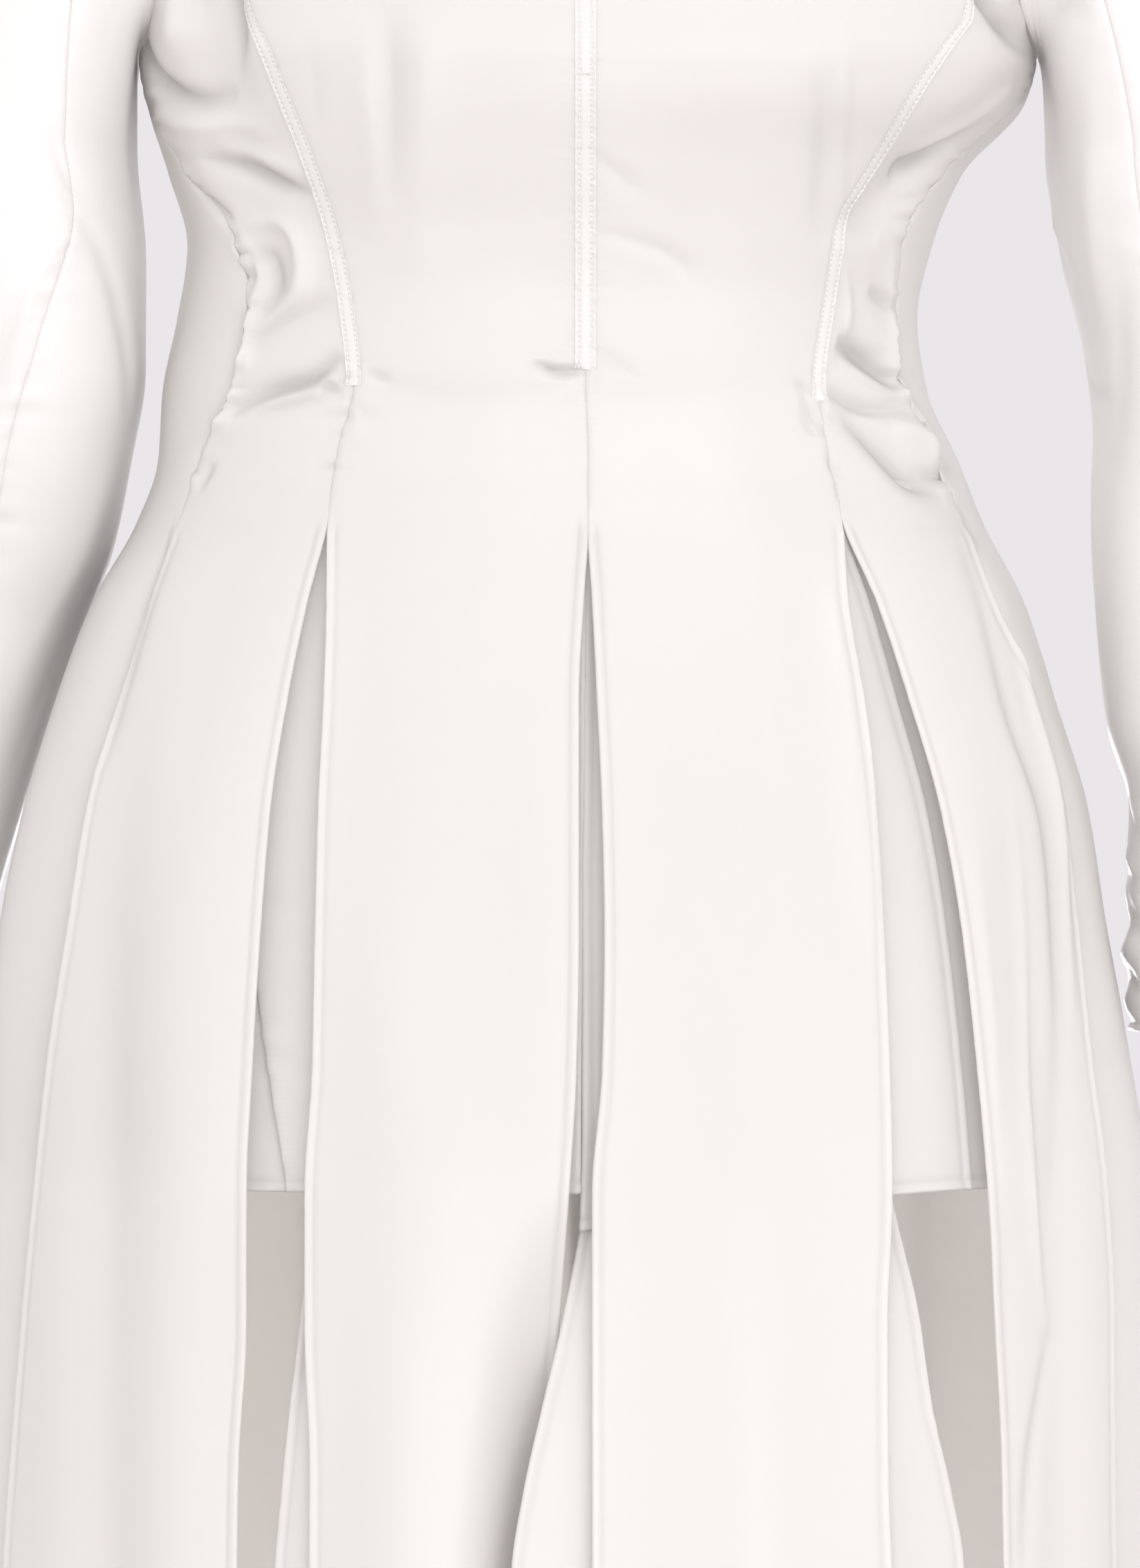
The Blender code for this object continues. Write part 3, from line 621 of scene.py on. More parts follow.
RIGHT_SLEEVE_CREASES = (
    CreaseRow(8, -2.2, ((8.9, -279), (7.3, -283), (6.4, -291))),
    CreaseRow(5, 2.2, ((10.0, -323), (9.4, -335), (8.3, -345))),
    CreaseRow(5, -1.6, ((10.0, -314), (10.0, -330), (9.3, -354))),
    CreaseRow(9, 1.6, ((6.9, -295), (7.6, -330), (8.1, -375))),
    CreaseRow(8, -1.5, ((6.8, -343), (7.6, -390), (8.3, -438))),
    CreaseRow(6, 1.8, ((10.0, -425), (9.3, -470), (9.5, -521))),
    CreaseRow(5, -1.6, ((10.0, -384), (9.4, -400), (8.2, -406))),
    CreaseRow(5, -2.5, ((10.0, -559), (10.0, -576), (8.7, -584))),
    CreaseRow(4, 2.0, ((10.0, -592), (8.7, -603))),
    CreaseRow(4, -2.5, ((10.0, -613), (8.7, -619))),
    CreaseRow(4, 2.2, ((10.0, -625), (8.6, -633))),
    CreaseRow(4, -2.5, ((10.0, -641), (8.6, -651))),
    CreaseRow(6, -2.2, ((12.5, -312), (14.8, -330), (17.0, -324))),
    CreaseRow(6, 1.8, ((12.6, -348), (14.6, -360), (16.6, -352))),
    CreaseRow(5, -1.8, ((1.0, -322), (3.0, -338), (5.0, -330))),
    CreaseRow(5, 1.5, ((1.4, -352), (3.2, -366), (5.0, -360))),
    CreaseRow(9, -1.6, ((2.0, -90), (2.2, -160), (2.4, -240))),
    CreaseRow(9, 1.5, ((18.0, -110), (17.4, -180), (17.0, -250))),
    CreaseRow(8, 1.6, ((3.2, -400), (3.6, -470), (3.4, -550))),
    CreaseRow(8, -1.6, ((16.6, -400), (16.2, -470), (16.6, -560))),
)


def between(a: np.ndarray, b: np.ndarray, t: np.ndarray) -> np.ndarray:
    """The values part of the way from some to others."""
    return a + (b - a) * t


def ease(t: np.ndarray) -> np.ndarray:
    """A soft step from 0 to 1."""
    t = np.clip(t, 0.0, 1.0)
    return t * t * (3 - 2 * t)


def unit(vectors: np.ndarray) -> np.ndarray:
    """The vectors at length 1."""
    return vectors / np.maximum(np.linalg.norm(vectors, axis=-1, keepdims=True), 1e-9)


class Form:
    """The dress's sections, which every layer of its body and skirt is laid on."""

    @staticmethod
    def section(z: np.ndarray) -> tuple[np.ndarray, np.ndarray]:
        """The middle and half width of the sections at some heights."""
        left, right = RINGS.read("left", z), RINGS.read("right", z)
        return (left + right) / 2, (right - left) / 2

    @staticmethod
    def shoulder_height(x: np.ndarray) -> np.ndarray:
        """The height of the shoulder line at a distance from the middle."""
        return NECK_POINT_HEIGHT - SHOULDER_SLOPE * (np.abs(x) - NECK_HALF_WIDTH)

    @staticmethod
    def neck_height(x: np.ndarray, back: bool) -> np.ndarray:
        """The height of the neckline at a distance from the middle."""
        low = BACK_NECK_HEIGHT if back else FRONT_NECK_HEIGHT
        share = np.clip(np.abs(x) / NECK_HALF_WIDTH, 0, 1)
        return low + (NECK_POINT_HEIGHT - low) * share**NECK_BEND

    @classmethod
    def closing(cls, x: np.ndarray, z: np.ndarray, back: np.ndarray) -> np.ndarray:
        """How far the front or back closes to the shoulder line: 1 at the bust and 0 at the line."""
        t = np.clip((z - BUST_HEIGHT) / (cls.shoulder_height(x) - BUST_HEIGHT), 0, 1)
        share = np.clip(np.abs(x) / ARMPIT_REACH, 0, 1)
        bend = np.where(back, between(*BACK_BEND, share), between(*FRONT_BEND, share))
        power = np.where(back, between(*BACK_POWER, share), between(*FRONT_POWER, share))
        return (1 - t**bend) ** power

    @classmethod
    def angle_of(cls, x: np.ndarray, z: np.ndarray, back: bool = False) -> np.ndarray:
        """The angle at which the section at a height reaches x, on its front or its back."""
        middle, half = cls.section(z)
        share = np.clip(np.abs(x - middle) / half, 0, 1)
        angle = np.degrees(np.arcsin(share ** (ROUNDNESS / 2)))
        return np.copysign(180 - angle if back else angle, x - middle)

    @staticmethod
    def fold_depth(angle: np.ndarray, z: np.ndarray) -> np.ndarray:
        """How far the large folds move the cloth out."""
        total = np.zeros(np.broadcast(angle, z).shape)
        for fold in FOLDS:
            along = (fold.top - z) / (fold.top - fold.bottom)
            middle = between(fold.top_angle, fold.bottom_angle, along)
            off = ((angle - middle + 180) % 360 - 180) / fold.width
            if fold.bottom == HEM:
                fade = ease((fold.top - z) / FOLD_FADE)
            else:
                fade = np.sin(np.pi * np.clip(along, 0, 1))
            depth = fold.depth * (BACK_FOLD_GAIN if abs(fold.top_angle) > 90 else 1.0)
            total += np.where((along >= 0) & (along <= 1), depth * fade * np.exp(-off * off), 0)
        return total

    @classmethod
    def point(cls, angle: np.ndarray, z: np.ndarray, out: float = 0.0, folds: float = 1.0) -> np.ndarray:
        """Points of the dress.

        Args:
            angle: the angles on the sections.
            z: the heights.
            out: how far outside the outer cloth they lie.
            folds: how much of the large folds they follow.

        Returns:
            The points, in metres, in a last axis of three.
        """
        angle, z, out = np.broadcast_arrays(np.asarray(angle, float), np.asarray(z, float), out)
        middle, half = cls.section(z)
        across, along = np.sin(np.radians(angle)), np.cos(np.radians(angle))
        power = 2 / ROUNDNESS
        reach = out + folds * cls.fold_depth(angle, z)
        x = middle + np.copysign((half + reach) * np.abs(across) ** power, across)
        behind = along < 0
        depth = np.where(behind, RINGS.read("back", z), RINGS.read("front", z))
        depth = depth * cls.closing(x, z, behind) + reach
        y = np.copysign(depth * np.abs(along) ** power, -along)
        return np.stack([x, y, z], axis=-1) * MM

    @classmethod
    def seen(cls, x: float, z: float) -> np.ndarray:
        """The point of the front that the camera sees at a place of the front plane.

        Args:
            x: the place's distance from the middle, on the front plane.
            z: the place's height, on the front plane.

        Returns:
            The point, in metres.
        """
        at_x, at_z = x, z
        for _ in range(6):
            point = cls.point(cls.angle_of(np.array(at_x), np.array(at_z)), np.array(at_z))
            grow = 1 + (point[1] / MM - FRONT_PLANE) / EYE_DISTANCE
            at_x, at_z = EYE_X + (x - EYE_X) * grow, EYE_Z + (z - EYE_Z) * grow
        return cls.point(cls.angle_of(np.array(at_x), np.array(at_z)), np.array(at_z))

    @classmethod
    def gap_angle(cls, z: np.ndarray) -> np.ndarray:
        """Half the gap between two pieces, as an angle."""
        return cls.turn(SEAM_GAP / 2, z)

    @classmethod
    def turn(cls, distance: np.ndarray, z: np.ndarray) -> np.ndarray:
        """A distance along the section as an angle."""
        _, half = cls.section(z)
        return np.degrees(2 * distance / (half + RINGS.read("front", z)))

    @classmethod
    def front_edge(cls, column: str, z: np.ndarray) -> np.ndarray:
        """The angle of a front panel's edge. Above the slits two panels share one seam."""
        shared = {"left_out": "left_in", "centre_right": "centre_left", "right_out": "right_in"}
        z = np.asarray(z, float)
        value = FRONT_EDGES.read(column, z)
        seam = FRONT_EDGES.read(shared.get(column, column), z)
        return cls.angle_of(np.where(z >= SLIT_TOP, seam, value), z)

    @classmethod
    def back_edge(cls, column: str, side: Side, z: np.ndarray) -> np.ndarray:
        """The angle of a back panel's edge at the princess seam."""
        z = np.asarray(z, float)
        value = np.where(z >= SLIT_TOP, BACK_EDGES.read("princess_in", z), BACK_EDGES.read(column, z))
        return cls.angle_of(side.value * value + cls.section(z)[0], z, back=True)

    @classmethod
    def side_back_edge(cls, side: Side, z: np.ndarray) -> np.ndarray:
        """The angle of a side back panel's front edge, across the side slit."""
        edge = cls.front_edge("side_" + side.word, z)
        return edge + side.value * cls.turn(BACK_EDGES.read("side_slit", z), z)

    @staticmethod
    def armhole_height(step: np.ndarray) -> np.ndarray:
        """The height of a step round the armhole, counted from the shoulder."""
        share = (1 - np.cos(2 * np.pi * np.asarray(step, float) / ARMHOLE_STEPS)) / 2
        return ARMHOLE_TOP + share * (ARMHOLE_BOTTOM - ARMHOLE_TOP)

    @classmethod
    def armhole_angle(cls, side: Side, z: np.ndarray, back: bool) -> np.ndarray:
        """The angle of the armhole's edge at a height."""
        return cls.angle_of(side.value * ARMHOLE.read("reach", z), z, back)


@dataclass
class Grid:
    """Points of a piece of cloth, in rows from the top and columns from left to right, seen from outside.

    Args:
        points: the points, in metres, rows by columns by three.
        normal: the way out of the cloth at each point, worked out from them.
        across, down: the distances along the cloth from the left edge and the top, in metres.
    """

    points: np.ndarray
    normal: np.ndarray = field(init=False)
    across: np.ndarray = field(init=False)
    down: np.ndarray = field(init=False)

    def __post_init__(self) -> None:
        """Works out the normals and the distances from the left edge and the top."""
        by_row, by_column = np.gradient(self.points, axis=0), np.gradient(self.points, axis=1)
        self.normal = unit(np.cross(by_row, by_column))
        along_row = np.linalg.norm(np.diff(self.points, axis=1), axis=2)
        along_column = np.linalg.norm(np.diff(self.points, axis=0), axis=2)
        self.across = np.pad(np.cumsum(along_row, axis=1), ((0, 0), (1, 0)))
        self.down = np.pad(np.cumsum(along_column, axis=0), ((1, 0), (0, 0)))

    @property
    def z(self) -> np.ndarray:
        """The height of each point, in millimetres."""
        return self.points[..., 2] / MM

    def flat_size(self) -> tuple[float, float, float]:
        """The width, length and area of the cut: the widest row, the longest column and what they hold."""
        widths, lengths = self.across[:, -1], self.down[-1]
        corner = self.points
        first = np.cross(corner[1:, :-1] - corner[:-1, :-1], corner[:-1, 1:] - corner[:-1, :-1])
        second = np.cross(corner[1:, 1:] - corner[1:, :-1], corner[:-1, 1:] - corner[1:, :-1])
        area = (np.linalg.norm(first, axis=2).sum() + np.linalg.norm(second, axis=2).sum()) / 2
        return float(widths.max()), float(lengths.max()), float(area)

    def from_edge(self, edge: Edge) -> np.ndarray:
        """The distance of each point from an edge, in millimetres."""
        if edge is Edge.LEFT:
            return self.across / MM
        if edge is Edge.RIGHT:
            return (self.across[:, -1:] - self.across) / MM
        if edge is Edge.TOP:
            return self.down / MM
        return (self.down[-1:] - self.down) / MM

    def along_edge(self, edge: Edge) -> np.ndarray:
        """How far along an edge each point lies, in millimetres."""
        return self.across / MM if edge.level else self.z


class Relief:
    """Something that lifts or sinks the cloth a little."""

    def height(self, grid: Grid) -> np.ndarray:
        """How far it moves each point of a grid out, in millimetres."""
        raise NotImplementedError

    def shade(self, grid: Grid) -> np.ndarray:
        """How much painted shade it puts on each point of a grid, from 0 to 1."""
        return np.zeros(grid.across.shape)


@dataclass(frozen=True)
class Crease(Relief):
    """A crease along a curve: a ridge above zero depth and a trough below.

    Args:
        path: points on the cloth, in metres.
        width: its half width.
        depth: how far it moves the cloth out.
        fade: where along it fades out.
    """

    path: np.ndarray
    width: float
    depth: float
    fade: Fade = Fade.BOTH

    def curve(self) -> np.ndarray:
        """A smooth line through the path's points."""
        p = np.vstack([2 * self.path[0] - self.path[1], self.path, 2 * self.path[-1] - self.path[-2]])
        t = np.linspace(0, 1, CURVE_PIECES, endpoint=False)[:, None]
        line = []
        for a, b, c, d in zip(p, p[1:], p[2:], p[3:]):
            line.append(0.5 * (2 * b + (c - a) * t + (2 * a - 5 * b + 4 * c - d) * t**2
                               + (3 * b - a - 3 * c + d) * t**3))
        return np.vstack([*line, self.path[-1:]])

    def height(self, grid: Grid) -> np.ndarray:
        """How far the crease moves each point out."""
        line = self.curve()
        reach = CREASE_REACH * self.width * MM
        near = np.all((grid.points > line.min(0) - reach) & (grid.points < line.max(0) + reach), axis=2)
        lifted = np.zeros(near.shape)
        if not near.any():
            return lifted
        p = grid.points[near][:, None]
        start, run = line[:-1][None], np.diff(line, axis=0)[None]
        t = np.clip(((p - start) * run).sum(2) / np.maximum((run * run).sum(2), 1e-12), 0, 1)
        away = np.linalg.norm(p - start - t[..., None] * run, axis=2)
        which = away.argmin(1)
        rows = np.arange(len(which))
        along = (which + t[rows, which]) / run.shape[1]
        off = away[rows, which] / (self.width * MM)
        sharp = np.exp(-1.5 * (np.sqrt(off * off + 0.05) - 0.22))
        profile = (sharp - CREASE_DIP * np.exp(-((off / 2.2) ** 2))) * ease((3.1 - off) / 1.3)
        lifted[near] = self.depth * profile * self.strength(along)
        return lifted

    def shade(self, grid: Grid) -> np.ndarray:
        """The soft painted shade in a narrow trough: the colour is darkened where the crease sinks the cloth.
        """
        if self.width > SHADED_WIDTH:
            return np.zeros(grid.across.shape)
        return TROUGH_SHADE * np.clip(-self.height(grid) / TROUGH_DEPTH, 0, 1)

    def strength(self, along: np.ndarray) -> np.ndarray:
        """How strong the crease is along its length, from 0 to 1."""
        if self.fade is Fade.BOTH:
            return np.sin(np.pi * along) ** 0.7
        if self.fade is Fade.START:
            return ease(along * 1.6)
        return ease((1 - along) * 1.6)


@dataclass(frozen=True)
class SeamPucker(Relief):
    """Puckers that run out from a sewn edge, uneven in length, depth and spacing.

    Args:
        edge: the edge that they run from.
        top, bottom: the heights between which they lie.
        period: the mean distance between two of them.
        depth: how far they lift the cloth.
        reach: how far they run from the edge.
        seed: picks their uneven spacing.
    """

    edge: Edge
    top: float
    bottom: float
    period: float
    depth: float
    reach: float
    seed: int

    def height(self, grid: Grid) -> np.ndarray:
        """How far the puckers move each point out."""
        away, along = grid.from_edge(self.edge), grid.along_edge(self.edge)
        ripple = wander(along, away, self.period, self.reach, self.seed)
        return self.depth * ripple * ease((self.top - grid.z) / 12) * ease((grid.z - self.bottom) / 12)


@dataclass(frozen=True)
class PuckerRow:
    """Puckers in a table: their two heights, their mean distance apart, their depth and their reach."""

    top: float
    bottom: float
    period: float
    depth: float
    reach: float


SEAM_PUCKERS = {
    Seam.MIDDLE: (PuckerRow(-90, -402, 5.0, 0.5, 7.0), PuckerRow(-392, -458, 9.0, 0.26, 4.0)),
    Seam.PRINCESS: (
        PuckerRow(-150, -410, 4.6, 0.38, 6.0),
        PuckerRow(-396, -458, 5.6, 1.1, 5.0),
        PuckerRow(-396, -458, 13.0, 0.9, 10.0),
    ),
    Seam.SIDE: (PuckerRow(-262, -456, 5.6, 0.85, 5.0), PuckerRow(-262, -456, 13.0, 1.3, 11.0)),
}


def wander(along: np.ndarray, away: np.ndarray, period: float, reach: float, seed: int) -> np.ndarray:
    """An uneven ripple along a seam that fades out away from it.

    Args:
        along: distances along the seam.
        away: distances from the seam.
        period: the mean distance between two ripples.
        reach: how far they run from the seam.
        seed: picks their phases.

    Returns:
        Heights from about -1 to 1.
    """
    draw = np.random.default_rng(seed)
    away = np.maximum(away, 0)
    total = np.zeros(along.shape)
    for scale in RIPPLE_SCALES:
        phase, slant = draw.uniform(0, 2 * np.pi), draw.uniform(-0.35, 0.35)
        total += np.sin(2 * np.pi * (along + slant * away) / (period * scale) + phase)
    swell = 0.55 + 0.45 * np.sin(2 * np.pi * along / (period * 5.3) + draw.uniform(0, 6))
    return total / 2.6 * swell * np.exp(-((away / reach) ** 1.3))


@dataclass(frozen=True)
class Drift(Relief):
    """Slow rises and dips all over the cloth, which make the satin's sheen run.

    Args:
        depth: how far they move the cloth.
        across, down: their lengths across and down the cloth.
        seed: picks their places.
    """

    depth: float
    across: float
    down: float
    seed: int

    def height(self, grid: Grid) -> np.ndarray:
        """How far the rises move each point out."""
        draw = np.random.default_rng(self.seed)
        x = np.arctan2(grid.points[..., 0], -grid.points[..., 1]) * MEAN_RADIUS
        z = grid.z
        total = np.zeros(x.shape)
        for _ in range(DRIFT_WAVES):
            a, b = draw.uniform(0.6, 1.9, 2)
            lean, phase = draw.uniform(-0.12, 0.12), draw.uniform(0, 2 * np.pi)
            swing = draw.uniform(0, 2 * np.pi)
            total += np.sin(2 * np.pi * (x + lean * z) / (self.across * a) + phase) * np.sin(
                2 * np.pi * z / (self.down * b) + swing
            )
        return self.depth * total / 3.0


BODY_DRIFT = Drift(0.5, 62, 260, 5)


@dataclass(frozen=True)
class RolledHem(Relief):
    """A narrow rolled hem along an edge, with its stitch line and small puckers.

    Args:
        edge: the edge that is hemmed.
        top: the height below which it runs.
        seed: picks the puckers.
        width: how wide the roll is.
        rise: how far it stands out.
        reach: how far from the middle it runs.
    """

    edge: Edge
    top: float = 100.0
    seed: int = 0
    width: float = 2.6
    rise: float = 0.75
    reach: float = 1000.0

    def height(self, grid: Grid) -> np.ndarray:
        """How far the hem moves each point out."""
        away = grid.from_edge(self.edge)
        roll = self.rise * np.exp(-((away / self.width) ** 4))
        groove = -0.3 * np.exp(-(((away - self.width - HEM_LINE) / 0.8) ** 2))
        ripple = 0.22 * wander(grid.along_edge(self.edge), away, 9.0, 7.0, self.seed)
        return (roll + groove + ripple) * self.window(grid)

    def window(self, grid: Grid) -> np.ndarray:
        """1 where the edge is hemmed."""
        beside = ease((self.reach - np.abs(grid.points[..., 0]) / MM) / 6)
        return ease((self.top - grid.z) / 8) * beside

    def shade(self, grid: Grid) -> np.ndarray:
        """Painted shade in the fine stitch line beside the roll."""
        line = (grid.from_edge(self.edge) - self.width - HEM_LINE) / HEM_LINE
        return 0.4 * np.exp(-line * line) * self.window(grid)

    def thickness(self, grid: Grid) -> np.ndarray:
        """How much the roll thickens the cloth, in millimetres."""
        return np.exp(-((grid.from_edge(self.edge) / self.width) ** 4)) * self.window(grid)


@dataclass(frozen=True)
class SewnEdge(Relief):
    """An edge that turns in to a seam, so that the seam is a fine closed groove.

    Args:
        edge: the sewn edge.
        bottom: the height above which it is sewn.
    """

    edge: Edge
    bottom: float = -5000.0

    def height(self, grid: Grid) -> np.ndarray:
        """How far the edge moves each point out, which is in."""
        return -SEW_DEPTH * np.exp(-((grid.from_edge(self.edge) / 1.3) ** 1.5)) * self.sewn(grid)

    def sewn(self, grid: Grid) -> np.ndarray:
        """1 where the edge is sewn."""
        return ease((grid.z - self.bottom) / 6)

    def shade(self, grid: Grid) -> np.ndarray:
        """Painted shade along the seam's fine line."""
        return 0.1 * np.exp(-((grid.from_edge(self.edge) / 0.8) ** 2)) * self.sewn(grid)


@dataclass
class ClothPiece:
    """A piece of cloth: its grid of points, what lifts it, its finish and the CAD node that it stands for."""

    node: str
    grid: Grid
    slot: Slot
    reliefs: tuple[Relief, ...] = ()

    def build(self, finish: bpy.types.Material) -> bpy.types.Object:
        """Args:
            finish: its material.

        Returns:
            The piece.
        """
        lift = sum((relief.height(self.grid) for relief in self.reliefs), np.zeros(self.grid.across.shape))
        outer = self.grid.points + self.grid.normal * lift[..., None] * MM
        wall = CLOTH + sum(
            (relief.thickness(self.grid) for relief in self.reliefs if isinstance(relief, RolledHem)),
            np.zeros(lift.shape),
        )
        inner = outer - self.grid.normal * wall[..., None] * MM
        piece = self.shell(outer, inner, wall, finish)
        declare(piece, self.node)
        width, length, area = self.grid.flat_size()
        area = min(area, width * length)
        log.info("%s: %d faces, cut %.0f by %.0f mm", piece.name, len(piece.data.polygons),
                 width / MM, length / MM)
        return piece

    def beside_seam(self) -> np.ndarray:
        """How near each point lies to a sewn edge, from 0 to 1."""
        near = np.zeros(self.grid.across.shape)
        for seam in (relief for relief in self.reliefs if isinstance(relief, SewnEdge)):
            away = np.exp(-((self.grid.from_edge(seam.edge) / SEAM_FADE) ** 1.5))
            near = np.maximum(near, away * seam.sewn(self.grid))
        return near.ravel()

    def shading(self) -> np.ndarray:
        """How much painted shade each point gets from a seam, a stitch line or a trough, from 0 to 1."""
        shaded = np.zeros(self.grid.across.shape)
        for relief in self.reliefs:
            shaded = np.maximum(shaded, relief.shade(self.grid))
        return shaded.ravel()

    def shell(self, outer: np.ndarray, inner: np.ndarray, wall: np.ndarray,
              finish: bpy.types.Material) -> bpy.types.Object:
        """A closed shell between two grids of points, with a rounded edge all round.

        Args:
            outer, inner: its outer and inner points, in metres.
            wall: its thickness at each point, in millimetres.
            finish: its material.

        Returns:
            The shell, with its cut as a UV map, and its seams and painted shade as attributes.
        """
        rows, columns = outer.shape[:2]
        index = np.arange(rows * columns).reshape(rows, columns)
        loop = np.concatenate([index[:-1, 0], index[-1, :-1], index[:0:-1, -1], index[0, :0:-1]])
        inward = np.concatenate([index[:-1, 1], index[-2, :-1], index[:0:-1, -2], index[1, :0:-1]])
        flat_outer, flat_inner = outer.reshape(-1, 3), inner.reshape(-1, 3)
        out = unit(flat_outer[loop] - flat_outer[inward])
        bulge = out * wall.reshape(-1)[loop, None] * EDGE_BULGE * MM
        middle = (flat_outer[loop] + flat_inner[loop]) / 2 + bulge
        points = np.vstack([flat_outer, flat_inner, middle])
        count = rows * columns
        quads = np.stack([index[:-1, :-1], index[1:, :-1], index[1:, 1:], index[:-1, 1:]], -1).reshape(-1, 4)
        edge = np.arange(len(loop)) + 2 * count
        after, next_loop = np.roll(edge, -1), np.roll(loop, -1)
        first = np.stack([next_loop, loop, edge, after], -1)
        second = np.stack([after, edge, loop + count, next_loop + count], -1)
        faces = np.vstack([quads, quads[:, ::-1] + count, first, second])
        mesh = bpy.data.meshes.new(self.node + "_cloth")
        mesh.vertices.add(len(points))
        mesh.vertices.foreach_set("co", points.astype(np.float32).ravel())
        mesh.loops.add(faces.size)
        mesh.loops.foreach_set("vertex_index", faces.astype(np.int32).ravel())
        mesh.polygons.add(len(faces))
        mesh.polygons.foreach_set("loop_start", np.arange(0, faces.size, 4, dtype=np.int32))
        mesh.update(calc_edges=True)
        flat = np.stack([self.grid.across, -self.grid.down], -1).reshape(-1, 2)
        layout = mesh.uv_layers.new(name="cut")
        spread = np.vstack([flat, flat, flat[loop]])[faces.ravel()]
        layout.data.foreach_set("uv", spread.astype(np.float32).ravel())
        # The shade attribute is painted shade that darkens the cloth's colour.
        for name, values in (("seam", self.beside_seam()), ("shade", self.shading())):
            mask = mesh.attributes.new(name, "FLOAT", "POINT")
            mask.data.foreach_set("value", np.concatenate([values, values, values[loop]]).astype(np.float32))
        mesh.shade_smooth()
        mesh.materials.append(finish)
        piece = bpy.data.objects.new(self.node + "_cloth", mesh)
        bpy.context.scene.collection.objects.link(piece)
        return piece


def spaced(width: float, step: float) -> np.ndarray:
    """Shares of a width for the columns of a grid, closer together at both edges.

    Args:
        width: the nominal width.
        step: the distance between columns away from the edges.

    Returns:
        Shares from 0 to 1.
    """
    edge = np.array(EDGE_STEPS)
    inside = np.linspace(edge[-1], width - edge[-1], max(2, int((width - 2 * edge[-1]) / step)))
    return np.concatenate([edge[:-1], inside, (width - edge[:-1])[::-1]]) / width


def heights(top: float, bottom: float, step: float, fine: bool = True, waist: float = 0.0) -> np.ndarray:
    """Heights of a grid's rows from the top down.

    Args:
        top, bottom: the first and the last height.
        step: the distance between rows.
        fine: whether rows lie closer together at the bottom, for a hem.
        waist: the distance between rows down to just below the slit tops, if it is another.

    Returns:
        The heights.
    """
    if waist:
        upper = np.linspace(top, FINE_BOTTOM, int((top - FINE_BOTTOM) / waist), endpoint=False)
        return np.concatenate([upper, heights(FINE_BOTTOM, bottom, step, fine)])
    count = max(3, int((top - bottom) / step))
    rows = np.linspace(top, bottom + HEM_BAND if fine else bottom, count)
    if not fine:
        return rows
    return np.concatenate([rows, bottom + np.array(EDGE_STEPS[-2::-1])])


